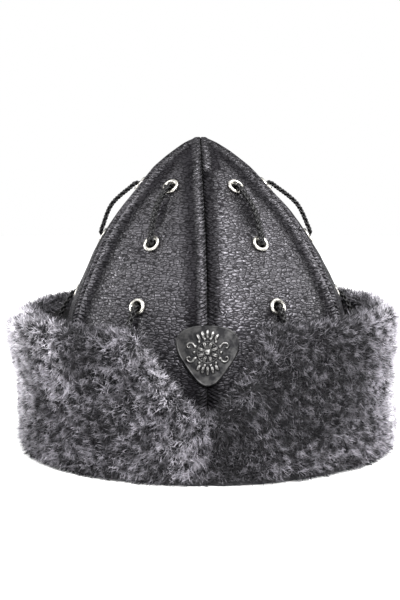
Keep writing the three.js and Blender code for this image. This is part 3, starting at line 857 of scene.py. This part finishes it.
def gore_piece(gore):
    look = bpy.context.scene.kalpak_crown
    t = np.linspace(-1, 1, look.columns + 1)
    height = np.linspace(0, 1, look.rows + 1)[:, None]
    flat = HALF_WIDTH * smooth(CROWN_SECTIONS, 1, height)
    edge = HALF_GORE - np.arcsin(np.minimum(0.45, SEAM_GAP / 2 / flat))
    off = (t * (1.35 - 0.35 * t**2))[None, :] * edge
    height = np.broadcast_to(height, off.shape)
    angle = gore_angle(gore) + off
    seam = (edge - np.abs(off)) * flat
    seats = [eyelet_seat(gore, share) for share in EYELET_HEIGHTS]
    radius = crown_radius(height, gore, off)
    lift = lift_of(look, gore, off, height, seam, crown_point(radius, angle, height), seats)
    radius = np.maximum(TIP_BLUNT, radius + lift)
    points = crown_point(radius, angle, height)
    points = close_tip(points, radius[-1], angle[-1], height[-1], np.abs(t) ** 3)
    rows, columns = points.shape[:2]
    faces = cut_holes(points.reshape(-1, 3), grid_faces(rows, columns), seats)
    piece = mesh_object(f"leather_{GORE_NAMES[gore]}", points, faces)
    # Painted highlight on the welts and painted shade in the valleys beside them.
    crest, valley = rubbed(gore, off, height, seam)
    # Where the painted shadow under a lace falls.
    hollow = hump(flat * off, 0.0042) * between_eyelets(height)
    grids = {"seam": seam, "crest": crest, "valley": valley, "hollow": hollow}
    grids |= {"up": height * CROWN_RISE, "wide": flat * off + 0.3 * gore}
    for name, grid in grids.items():
        tip = np.repeat(grid[-1:], rows - len(grid), axis=0)
        keep_values(piece, name, np.concatenate([grid, tip]))
    middle = points[:, columns // 2]
    long = np.cumsum(np.linalg.norm(np.diff(middle, axis=0, prepend=middle[:1]), axis=-1))
    keep_values(piece, "long", np.repeat(long, columns))
    wall = piece.modifiers.new("Wall", "SOLIDIFY")
    wall.thickness = WALL
    wall.offset = -1
    wall.use_rim = True
    settle(piece)
    piece.data.set_sharp_from_angle(angle=math.radians(55))
    return piece


class KALPAK_OT_crown(bpy.types.Operator):
    """Makes the six leather gores, with welted seams, lace valleys, folds and holes"""

    bl_idname = "kalpak.crown"
    bl_label = "Leather crown"

    def execute(self, context):
        hide = hide_material()
        for gore in range(GORES):
            piece = gore_piece(gore)
            finish_piece(piece, hide, [f"gore_{GORE_NAMES[gore]}"])
        return {"FINISHED"}


def geometry_tree(name, inputs):
    return new_tree("GeometryNodeTree", name, {"Geometry": "Geometry"} | inputs, {"Geometry": "Geometry"})


def grow(piece, tree, **values):
    """Runs a tree on a piece with its inputs set, and keeps the plain mesh that it makes."""
    modifier = piece.modifiers.new(tree.name, "NODES")
    modifier.node_group = tree
    for item in tree.interface.items_tree:
        if item.item_type == "SOCKET" and item.in_out == "INPUT" and item.name.replace(" ", "_") in values:
            modifier[item.identifier] = values[item.name.replace(" ", "_")]
    settle(piece)


def stored(tree, name, kind="FLOAT_VECTOR"):
    return put(tree, "GeometryNodeInputNamedAttribute", {"Name": name}, data_type=kind)


def join(parts):
    made = parts[0].tree.nodes.new("GeometryNodeJoinGeometry")
    for part in parts:
        feed(made, Geometry=part)
    return Wire(made.outputs[0])


def end_tree(geometry, given, out):
    """Ends a tree in real faces with their material."""
    tree = geometry.tree
    real = put(tree, "GeometryNodeRealizeInstances", {"Geometry": geometry})
    inputs = {"Geometry": real, "Material": given["Material"]}
    feed(out, Geometry=put(tree, "GeometryNodeSetMaterial", inputs))
    return tree


def eyelet_tree():
    """A rolled rim, a barrel and a flange inside, at each point of a mesh."""
    sizes = {"Rim radius": EYELET_RADIUS, "Bore": EYELET_BORE, "Barrel length": 0.005}
    tree, given, out = geometry_tree("Eyelets", sizes | {"Material": "Material"})
    bore, long = given["Bore"], given["Barrel length"]

    def swept(radius, profile, rise):
        circle = put(tree, "GeometryNodeCurvePrimitiveCircle", {"Resolution": 30, "Radius": radius})
        tube = put(tree, "GeometryNodeCurveToMesh", {"Curve": circle, "Profile Curve": profile})
        way = put(tree, "ShaderNodeCombineXYZ", {2: rise})
        return put(tree, "GeometryNodeTransform", {"Geometry": tube, "Translation": way})

    def oblong(width, height):
        return put(tree, "GeometryNodeCurvePrimitiveQuadrilateral", {"Width": width, "Height": height})

    half = (given["Rim radius"] - bore) * 0.5
    middle = bore + half
    bead = put(tree, "GeometryNodeCurvePrimitiveCircle", {"Resolution": 12, "Radius": half})
    rings = [
        swept(middle, bead, 0.00045),
        swept(bore + 0.0002, oblong(0.0004, long), long * -0.42),
        swept(middle, oblong(0.0019, 0.0004), long * -0.84),
    ]
    turn = put(tree, "FunctionNodeEulerToRotation", {0: stored(tree, "turn")})
    points = put(tree, "GeometryNodeMeshToPoints", {"Mesh": given["Geometry"]})
    inputs = {"Points": points, "Instance": join(rings), "Rotation": turn}
    return end_tree(put(tree, "GeometryNodeInstanceOnPoints", inputs), given, out)


class KALPAK_OT_eyelets(bpy.types.Operator):
    """Sets a rolled nickel eyelet in each hole of the gores"""

    bl_idname = "kalpak.eyelets"
    bl_label = "Eyelets"

    def execute(self, context):
        places, turns, nodes = [], [], []
        for gore in range(GORES):
            for k, height in enumerate(EYELET_HEIGHTS):
                seat = eyelet_seat(gore, height)
                places.append(seat[:, 3])
                turns.append(Matrix(seat[:, :3].tolist()).to_euler())
                nodes.append(f"eyelet_{GORE_NAMES[gore]}_{len(EYELET_HEIGHTS) - k}")
        piece = mesh_object("eyelet_rings", places, [])
        keep_values(piece, "turn", turns, "FLOAT_VECTOR")
        grow(
            piece,
            eyelet_tree(),
            Rim_radius=EYELET_RADIUS + 0.0001,
            Bore=EYELET_BORE + 0.0002,
            Barrel_length=WALL + 2 * EYELET_SLACK + 2 * EYELET_FLANGE,
            Material=nickel_material(),
        )
        finish_piece(piece, None, nodes)
        return {"FINISHED"}


def lace_path(gore):
    """The lace's route, and the direction across it, from the top knot to the lowest one."""
    low, third, second, top = EYELET_HEIGHTS
    under = -WALL - EYELET_SLACK - EYELET_FLANGE - 2 * CLEARANCE
    points, sides = [], []

    def add(height, down, out, aside=0.0):
        seat = eyelet_seat(gore, height)
        points.append(on_seat(seat, aside, -down, out))
        sides.append(seat[:, 0])

    def come_out(height):
        add(height, 0, under)
        add(height, 0, 0.6 * EYELET_RISE)
        add(height, 0.8 * LACE_RADIUS, EYELET_RISE + 0.62 * LACE_RADIUS)
        add(height, 2.4 * LACE_RADIUS, 0.6 * LACE_ARCH)

    def go_in(height):
        add(height, -2.4 * LACE_RADIUS, 0.6 * LACE_ARCH)
        add(height, -0.8 * LACE_RADIUS, EYELET_RISE + 0.62 * LACE_RADIUS)
        add(height, 0, 0.6 * EYELET_RISE)
        add(height, 0, under)

    def knot(height, way):
        for turn in np.linspace(0, 2 * math.pi, 15)[::way]:
            x = math.sin(turn) + 2 * math.sin(2 * turn)
            y = math.cos(turn) - 2 * math.cos(2 * turn)
            size = KNOT_RADIUS / 6.5
            add(height, size * y, under - KNOT_RADIUS - size * math.sin(3 * turn), size * x)

    knot(top, 1)
    come_out(top)
    add((top + second) / 2, 0, LACE_ARCH)
    go_in(second)
    add(second, 0.8 * LACE_RADIUS, under - LACE_RADIUS)
    add((second + third) / 2, 0, under - LACE_RADIUS)
    add(third, -0.8 * LACE_RADIUS, under - LACE_RADIUS)
    come_out(third)
    add((third + low) / 2, 0, LACE_ARCH)
    go_in(low)
    knot(low, -1)
    path = through(np.hstack([points, sides]), LACE_STEPS)
    return path[:, :3], path[:, 3:] / np.linalg.norm(path[:, 3:], axis=1)[:, None]


def braid_tree():
    """Three flat strips along a path, a third of a turn apart, that cross over and under each other."""
    sizes = {"Pitch": 0.0125, "Strand width": 0.0023, "Strand thickness": 0.0011, "Swing": 0.0012}
    tree, given, out = geometry_tree("Three-strand braid", sizes | {"Material": "Material"})
    thick = given["Strand thickness"]
    curve = put(tree, "GeometryNodeMeshToCurve", {0: given["Geometry"]})
    curve = put(tree, "GeometryNodeResampleCurve", {"Curve": curve, "Length": 0.0009}, mode="LENGTH")
    side = work("NORMALIZE", stored(tree, "side"))
    facing = work("NORMALIZE", work("CROSS_PRODUCT", side, put(tree, "GeometryNodeInputTangent")))
    curve = put(tree, "GeometryNodeSetCurveNormal", {"Curve": curve, "Normal": facing}, mode="FREE")
    turns = put(tree, "GeometryNodeSplineParameter", output="Length") * (2 * math.pi) / given["Pitch"]
    ring = put(tree, "GeometryNodeCurvePrimitiveCircle", {"Resolution": 8, "Radius": 0.5})
    flat = put(tree, "ShaderNodeCombineXYZ", {0: thick, 1: given["Strand width"], 2: 1.0})
    profile = put(tree, "GeometryNodeTransform", {"Geometry": ring, "Scale": flat})
    tubes = []
    for strand in range(3):
        phase = turns + strand * 2 * math.pi / 3
        swing = work("SINE", phase) * given["Swing"]
        rise = work("SINE", phase * 2.0) * (thick * 0.65)
        inputs = {"Geometry": curve, "Offset": side * swing + facing * rise}
        moved = put(tree, "GeometryNodeSetPosition", inputs)
        inputs = {"Curve": moved, "Profile Curve": profile, "Fill Caps": True}
        tubes.append(put(tree, "GeometryNodeCurveToMesh", inputs))
    return end_tree(join(tubes), given, out)


class KALPAK_OT_laces(bpy.types.Operator):
    """Braids one lace through the four eyelets of each gore"""

    bl_idname = "kalpak.laces"
    bl_label = "Braided laces"

    def execute(self, context):
        look = context.scene.kalpak_trim
        tree, strands = braid_tree(), strand_material()
        for gore in range(GORES):
            path, sides = lace_path(gore)
            edges = [(k, k + 1) for k in range(len(path) - 1)]
            piece = mesh_object(f"braid_{GORE_NAMES[gore]}", path, [], edges)
            keep_values(piece, "side", sides, "FLOAT_VECTOR")
            grow(
                piece,
                tree,
                Pitch=look.pitch,
                Strand_width=look.strand_width,
                Strand_thickness=look.strand_thickness,
                Swing=0.5 * look.strand_width,
                Material=strands,
            )
            finish_piece(piece, None, [f"lace_{GORE_NAMES[gore]}"])
        return {"FINISHED"}


# The badge, in millimetres on its own face: x along the foot, y up


def cord_on_face(x, y, path, width, rise):
    """A raised line along a path, thinner towards its end."""
    total = np.zeros_like(x)
    fine = through(path, 60)
    for k, (at_x, at_y) in enumerate(fine):
        size = width * (1 - 0.45 * k / len(fine))
        near = 1 - ((x - at_x) ** 2 + (y - at_y) ** 2) / size**2
        total = np.maximum(total, rise * np.sqrt(np.clip(near, 0, None)))
    return total


def badge_relief(x, y):
    """Height of the relief around its middle: a rosette, beads, four horn scrolls and two leaf sprays."""
    reach, turn = np.hypot(x, y), np.arctan2(y, x)
    parts = [
        0.35 * (reach < 11.4) * hump(reach - 6.0, 0.28),
        1.5 * np.sqrt(np.clip(1 - (reach / 2.2) ** 2, 0, None)),
        0.5 * hump(reach - 2.55, 0.22) * (0.75 + 0.25 * np.cos(18 * turn)),
    ]

    def bead(out, way, length, width, rise, groove=0.0, vein=1.0):
        """A rounded bead on a ray from the middle, with a vein along it."""
        along = x * math.cos(way) + y * math.sin(way) - out
        aside = y * math.cos(way) - x * math.sin(way)
        dome = np.sqrt(np.clip(1 - (along / length) ** 2 - (aside / width) ** 2, 0, None))
        parts.append(rise * dome * (1 - groove * hump(aside, vein)))

    for k in range(8):
        way = math.pi / 8 + k * math.pi / 4
        bead(4.3, way, 1.9, 1.15, 0.9, 0.5, 0.18)
        bead(5.0, way + math.pi / 8, 0.45, 0.45, 0.45)
    for k in range(14):
        bead(7.6, k * math.pi / 7, 1.0, 1.0, 0.85)
    for side in (-1, 1):
        for level in (-1, 1):
            path = []
            for k in range(7):
                size = 2.9 - 0.42 * k
                up = 3.2 + size * math.sin(0.85 * k)
                path.append((side * (10.2 - size * math.cos(0.85 * k)), level * up))
            parts.append(cord_on_face(x, y, path, 0.78, 0.9))
        for leaf in range(-2, 3):
            way = side * (math.pi / 2 + 0.27 * leaf)
            bead(10.4 - 0.2 * abs(leaf), way, 2.7 - 0.3 * abs(leaf), 1.1, 0.95, 0.45, 0.14)
    return np.maximum.reduce(parts)


def badge_rings():
    """Rings of points from the middle of the plate's back to the middle of its face, and how worn each is."""
    turn = all_round(BADGE_AROUND)[None, :]
    share = np.linspace(1, 0.004, BADGE_STEPS)[:, None] ** 0.9
    reach = 1 + 0.07 * np.cos(3 * (turn - math.pi / 6))
    width, height = 1000 * BADGE_HALF_WIDTH, 1000 * BADGE_HALF_HEIGHT
    x = share * width / 1.08 * reach * (1 + 0.25 * np.sin(turn)) * np.cos(turn)
    y = share * height * reach * np.sin(turn)
    inward = (1 - share) * 0.5 * (width + height)
    bevel, thick = 1000 * BADGE_BEVEL, 1000 * BADGE_THICKNESS
    relief = 1.15 * badge_relief(x, y - BADGE_CENTRE)
    rim = 0.14 * hump(inward - 0.75, 0.42)
    shoulder = 1 - np.sqrt(np.clip(1 - (1 - np.clip(inward / bevel, 0, 1)) ** 2, 0, 1))
    z = thick + np.maximum(relief, rim) - bevel * shoulder
    rise = np.clip(np.maximum(relief, 1.4 * rim) / 1.1, 0, 1)
    border = smooth_step(np.hypot(x, y - BADGE_CENTRE), 10.5, 13.5, 0, 1)
    rise = np.maximum(rise, 0.04 + 0.13 * border)
    back = np.stack([x[:1], y[:1], 0 * x[:1]], axis=-1)
    rings = np.concatenate([0.02 * back, back, np.stack([x, y, z], axis=-1)]) * 0.001
    rings[..., 2] -= rings[..., 0] ** 2 / (2 * BADGE_BEND)
    return rings, np.concatenate([np.zeros((2, BADGE_AROUND)), rise])


def stud_rings():
    """Rings of points of the stud behind the plate, from its head up."""
    reach = WALL + WELT_HEIGHT + 3 * CLEARANCE
    profile = [
        (STUD_HEAD_RADIUS - 0.0004, -reach - STUD_HEAD),
        (STUD_HEAD_RADIUS, -reach - 0.0003),
        (STUD_HEAD_RADIUS - 0.0003, -reach),
        (STUD_RADIUS, -reach),
        (STUD_RADIUS, 0.0004),
    ]
    turn = all_round(STUD_SIDES)
    radius, height = np.array(profile).T[..., None]
    return np.stack(np.broadcast_arrays(radius * np.cos(turn), radius * np.sin(turn), height), axis=-1)


def ring_faces(rings, start):
    """Faces between rings of points, closed at both ends, where the points begin at a number."""
    count, around = rings.shape[:2]
    grid = grid_faces(count, around, close_columns=True) + start
    first, last = start + np.arange(around), start + (count - 1) * around + np.arange(around)
    return grid.tolist() + [first[::-1].tolist(), last.tolist()]


class KALPAK_OT_badge(bpy.types.Operator):
    """Makes the pewter badge with its relief and the stud that holds it"""

    bl_idname = "kalpak.badge"
    bl_label = "Badge"

    def execute(self, context):
        (plate, rise), stud = badge_rings(), stud_rings()
        seat = seat_on(0, -HALF_GORE, BADGE_HEIGHT, WELT_HEIGHT * 0.35 + CLEARANCE)
        local = np.vstack([plate.reshape(-1, 3), stud.reshape(-1, 3)])
        faces = ring_faces(plate, 0) + ring_faces(stud, rise.size)
        piece = mesh_object("badge_relief", on_seat(seat, *local.T), faces)
        keep_values(piece, "rise", np.append(rise, np.full(len(local) - rise.size, 0.6)))
        shade_smooth(piece)
        finish_piece(piece, pewter_material(), ["badge"])
        return {"FINISHED"}


class KALPAK_OT_backing(bpy.types.Operator):
    """Makes the black backing that turns up behind the fur"""

    bl_idname = "kalpak.backing"
    bl_label = "Cuff backing"

    def execute(self, context):
        angle = all_round(BACKING_AROUND)
        top = cuff_top(angle) - FUR_LIP - CLEARANCE
        wall, outer = HALF_WIDTH - WALL, CUFF_INNER + BACKING
        # Radius, share of the height to the upper edge, and rise above that
        section = (
            (wall, 0, 0),
            (outer - 0.0004, 0, 0),
            (outer, 0, 0.0004),
            (outer, 0.5, 0),
            (outer, 1, -0.0004),
            (outer - 0.5 * BACKING, 1, 0),
            (CUFF_INNER, 1, -0.0004),
            (CUFF_INNER, 0.5, 0),
            (CUFF_INNER, 0, 2 * BACKING),
            (CUFF_INNER - BACKING, 0, BACKING),
        )
        rows = [cuff_point(radius, angle, share * top + rise) for radius, share, rise in section]
        rows.append(polar(wall, angle, BACKING))
        faces = grid_faces(len(rows), len(angle), close_rows=True, close_columns=True)
        piece = mesh_object("backing_band", rows, faces)
        shade_smooth(piece)
        finish_piece(piece, lining_material(), ["cuff_backing"])
        return {"FINISHED"}


def fur_skin(inset):
    """Grids of the skin's points and of how much pile grows there, round the cuff and round its section."""
    points, pile = [], []
    for turn in all_round(FUR_AROUND):
        top = float(cuff_top(turn, NOTCH_WIDER))
        join = JOIN_DEPTH * math.exp(-((float(from_front(turn)) * FUR_OUTER * 1000) ** 2) / 16)
        section = [(FUR_INNER, 0.0)]
        for out, up, drop in FUR_SECTION:
            depth = out * FUR_DEPTH - (join if out > 0.8 else 0)
            section.append((FUR_INNER + max(0.0005, depth), up * top - drop * FUR_LIP))
        section += [
            (CUFF_INNER - 0.8 * FUR_SPILL, top - 0.55 * FUR_LIP),
            (CUFF_INNER - 0.5 * FUR_SPILL, top - FUR_LIP),
            (FUR_INNER, top - FUR_LIP),
        ]
        curve = through(section, FUR_LOOP, closed=True)
        tangent = np.roll(curve, -1, axis=0) - np.roll(curve, 1, axis=0)
        tangent /= np.linalg.norm(tangent, axis=1)[:, None] + 1e-12
        normal = np.column_stack([tangent[:, 1], -tangent[:, 0]])
        inside = (curve[:, 0] < FUR_INNER + 0.0012) & (curve[:, 1] < top - 0.9 * FUR_LIP)
        floor = np.clip((curve[:, 1] - 0.0008) / 0.004, 0, 1)
        grows = np.where(inside, 0.0, floor)
        thin = np.where(curve[:, 0] < FUR_INNER + 0.004, 0.35, 1.0)
        curve = curve - normal * (inset * grows * thin)[:, None]
        points.append(cuff_point(curve[:, 0], turn, np.maximum(curve[:, 1], 0.0002)))
        pile.append(grows * np.clip((curve[:, 0] - FUR_INNER) / 0.006, 0.25, 1))
    points, pile = np.array(points), np.array(pile)
    lumps = 0.0009 * ripple(points, 0.016, 3) + 0.0011 * ripple(points, 0.05, 4)
    out = points - np.array([SHIFT, 0, 0])
    out[..., 2] = 0
    out /= np.linalg.norm(out, axis=-1)[..., None]
    return points + out * (lumps * pile)[..., None], pile


def dye_at(points):
    """How much paler or darker the pile is at each point, from dye and from painted light."""
    total = np.zeros(points.shape[:-1])
    for turn, height, radius, light in PATCHES:
        middle = cuff_point(FUR_OUTER - 0.003, np.float64(math.radians(turn)), np.float64(height))
        away = np.linalg.norm((points - middle) * (1, 1, 0.8), axis=-1)
        total += light * hump(away + 0.003 * ripple(points, 0.02, 21), radius)
    # Two pelts of unlike dye meet at the front join.
    aside = points[..., 0] - SHIFT - 0.001
    front = (points[..., 1] < 0) * hump(aside, 0.03)
    return total - front * (0.14 + 0.26 * np.tanh(aside / 0.0012))


def pile_tree(strand):
    """Strands on a skin: each leans with a slow swirl, and tufts draw their tips together."""
    inputs = {"Density": 2.0e6, "Seed": 1, "Lean": 1.0, "Tuft": 0.0045, "Draw": 0.55, "Material": "Material"}
    tree, given, out = geometry_tree("Curly pile", inputs)

    def keep(geometry, name, value, kind):
        inputs = {"Geometry": geometry, "Name": name, "Value": value}
        return put(tree, "GeometryNodeStoreNamedAttribute", inputs, data_type=kind, domain="POINT")

    def chance(low, high, seed, kind="FLOAT"):
        made = tree.nodes.new("FunctionNodeRandomValue")
        made.data_type = kind
        pair = [s for s in made.inputs if s.enabled and s.name in ("Min", "Max")]
        pair[0].default_value, pair[1].default_value = low, high
        made.inputs["Seed"].default_value = seed
        return Wire(next(s for s in made.outputs if s.enabled))

    density = given["Density"] * stored(tree, "pile", "FLOAT")
    inputs = {"Mesh": given["Geometry"], "Density": density, "Seed": given["Seed"]}
    spots = put(tree, "GeometryNodeDistributePointsOnFaces", inputs, distribute_method="RANDOM")
    place = put(tree, "GeometryNodeInputPosition")
    points = keep(spots, "root", place, "FLOAT_VECTOR")
    points = keep(points, "tint", chance(0.0, 1.0, 5), "FLOAT")
    jitter = chance((-0.45, -0.45, -0.45), (0.45, 0.45, 0.45), 9, "FLOAT_VECTOR")
    lean = swirl(place, 22.0, 1.0) * 3.2 + swirl(place, 130.0, 2.0) * 3.6
    lean = (lean + (jitter + (0.0, 0.0, -0.25))) * given["Lean"]
    turn = put(tree, "FunctionNodeAlignRotationToVector", {"Vector": spots["Normal"] + lean}, axis="Z")
    inputs = {"Axis": (0.0, 0.0, 1.0), "Angle": chance(0.0, 6.283, 13)}
    inputs = {"Rotation": turn, "Rotate By": put(tree, "FunctionNodeAxisAngleToRotation", inputs)}
    turn = put(tree, "FunctionNodeRotateRotation", inputs, rotation_space="LOCAL")
    model = put(tree, "GeometryNodeObjectInfo", {"Object": strand}, "Geometry")
    inputs = {"Points": points, "Instance": model, "Rotation": turn, "Scale": chance(0.7, 1.15, 17)}
    placed = put(tree, "GeometryNodeInstanceOnPoints", inputs)
    real = put(tree, "GeometryNodeRealizeInstances", {"Geometry": placed})
    root, along = stored(tree, "root"), stored(tree, "along", "FLOAT")
    inputs = {"Vector": root, "Scale": 1.0 / given["Tuft"], "Randomness": 1.0}
    tuft = put(tree, "ShaderNodeTexVoronoi", inputs, "Position")
    drawn = (tuft - root) * (work("POWER", along, 1.5) * given["Draw"])
    drawn = drawn + swirl(place, 330.0, 1.0) * (along * 0.004)
    moved = put(tree, "GeometryNodeSetPosition", {"Geometry": real, "Offset": drawn})
    above = work("MAXIMUM", place, (-1.0, -1.0, 0.0004))
    moved = put(tree, "GeometryNodeSetPosition", {"Geometry": moved, "Position": above})
    return end_tree(moved, given, out)


class KALPAK_OT_fur(bpy.types.Operator):
    """Makes the fur cuff: its skin, and the curly pile in four sectors"""

    bl_idname = "kalpak.fur"
    bl_label = "Fur cuff"

    def execute(self, context):
        look = context.scene.kalpak_fur
        points, pile = fur_skin(look.inset)
        faces = grid_faces(FUR_AROUND, FUR_LOOP, close_rows=True, close_columns=True)
        skin = mesh_object("fur_skin", points, faces[:, ::-1])
        shade_smooth(skin)
        # Painted shadow: the skin and pile are darker where little pile grows, inside the rim, near the
        # backing and at the foot.
        dye = dye_at(points) - 0.8 * (1 - pile)
        keep_values(skin, "dye", dye)
        finish_piece(skin, fur_material("fur_under", False), ["cuff_fur"])
        half, long = 0.5 * look.width, look.pile
        shape = [
            (-half, 0, 0),
            (half, 0, 0),
            (-0.75 * half, 0.16 * long, 0.55 * long),
            (0.75 * half, 0.16 * long, 0.55 * long),
            (0, 0.5 * long, 0.92 * long),
        ]
        strand = mesh_object("strand", shape, [(0, 1, 3), (0, 3, 2), (2, 3, 4)])
        keep_values(strand, "along", [0, 0, 0.55, 0.55, 1])
        tree, pelt = pile_tree(strand), fur_material("fur_pile", True)
        quarter = FUR_AROUND // len(FUR_SECTORS)
        faces = grid_faces(quarter + 1, FUR_LOOP, close_columns=True)[:, ::-1]
        for k, sector in enumerate(FUR_SECTORS):
            part = np.arange(k * quarter, (k + 1) * quarter + 1) % FUR_AROUND
            piece = mesh_object(f"pile_{sector}", points[part], faces)
            keep_values(piece, "pile", pile[part])
            keep_values(piece, "dye", dye[part])
            curl = {"Lean": 1.0, "Tuft": 0.0024, "Draw": 0.8}
            grow(piece, tree, Density=look.density, Seed=11 + k, Material=pelt, **curl)
            finish_piece(piece, None, ["cuff_fur"])
        bpy.data.objects.remove(strand)
        return {"FINISHED"}


class KALPAK_OT_stage(bpy.types.Operator):
    """Sets the pale floor, the soft lights and the camera"""

    bl_idname = "kalpak.stage"
    bl_label = "Stage"

    def execute(self, context):
        look, scene = context.scene.kalpak_stage, context.scene
        rim = polar(look.floor_radius, all_round(FLOOR_SIDES), 0.0)
        floor = mesh_object("floor", rim, [tuple(range(FLOOR_SIDES))])
        paper, tree, shader = material("floor_paper", Roughness=0.9, Specular_IOR_Level=0.1)
        tone = spread(clouds(object_place(tree), 3.0), 0.3, 0.7, 0.98, 1.0)
        feed(shader, Base_Color=blend(tone, opaque(look.floor, 0.9), opaque(look.floor)))
        floor.data.materials.append(paper)
        world = bpy.data.worlds.new("studio")
        world.use_nodes = True
        sky = next(n for n in world.node_tree.nodes if n.type == "BACKGROUND")
        sky.inputs["Color"].default_value = (1.0, 1.0, 1.0, 1)
        seen = put(world.node_tree, "ShaderNodeLightPath", output="Is Camera Ray")
        feed(sky, Strength=spread(seen, 0.0, 1.0, look.sky, 1.0, soft=False))
        scene.world = world
        for name, place, width, power in LAMPS:
            lamp = bpy.data.lights.new(name, "AREA")
            lamp.size = width
            lamp.energy = power
            holder = bpy.data.objects.new(name, lamp)
            holder.location = place
            holder.rotation_euler = (Vector(LAMP_AIM) - Vector(place)).to_track_quat("-Z", "Y").to_euler()
            scene.collection.objects.link(holder)
        lens = bpy.data.cameras.new("camera")
        lens.lens = look.lens
        lens.sensor_width = 36
        lens.clip_start = 0.01
        eye = bpy.data.objects.new("camera", lens)
        eye.location = (CAMERA_X, -look.distance, look.height)
        eye.rotation_euler = (math.pi / 2 - look.pitch, 0, 0)
        scene.collection.objects.link(eye)
        scene.camera = eye
        scene.view_settings.view_transform = "Standard"
        return {"FINISHED"}


class KALPAK_PT_panel(bpy.types.Panel):
    bl_idname = "KALPAK_PT_panel"
    bl_label = "Kalpak"
    bl_space_type = "VIEW_3D"
    bl_region_type = "UI"
    bl_category = "Kalpak"

    def draw(self, context):
        scene = context.scene
        for look, steps in (
            (scene.kalpak_crown, ("kalpak.crown",)),
            (scene.kalpak_trim, ("kalpak.eyelets", "kalpak.laces", "kalpak.badge", "kalpak.backing")),
            (scene.kalpak_fur, ("kalpak.fur",)),
            (scene.kalpak_stage, ("kalpak.stage",)),
        ):
            box = self.layout.box()
            for name in look.__annotations__:
                box.prop(look, name)
            for step in steps:
                box.operator(step)


LOOKS = {
    "kalpak_crown": KalpakCrownLook,
    "kalpak_trim": KalpakTrimLook,
    "kalpak_fur": KalpakFurLook,
    "kalpak_stage": KalpakStageLook,
}
STEPS = (
    KALPAK_OT_crown,
    KALPAK_OT_eyelets,
    KALPAK_OT_laces,
    KALPAK_OT_badge,
    KALPAK_OT_backing,
    KALPAK_OT_fur,
    KALPAK_OT_stage,
)


def register():
    for name, kind in LOOKS.items():
        bpy.utils.register_class(kind)
        setattr(bpy.types.Scene, name, bpy.props.PointerProperty(type=kind))
    for kind in STEPS + (KALPAK_PT_panel,):
        bpy.utils.register_class(kind)


def unregister():
    for kind in reversed(STEPS + (KALPAK_PT_panel,)):
        bpy.utils.unregister_class(kind)
    for name, kind in reversed(LOOKS.items()):
        delattr(bpy.types.Scene, name)
        bpy.utils.unregister_class(kind)


def main():
    register()
    bpy.ops.kalpak.crown()
    bpy.ops.kalpak.eyelets()
    bpy.ops.kalpak.laces()
    bpy.ops.kalpak.badge()
    bpy.ops.kalpak.backing()
    bpy.ops.kalpak.fur()
    bpy.ops.kalpak.stage()


if __name__ == "__main__":
    main()
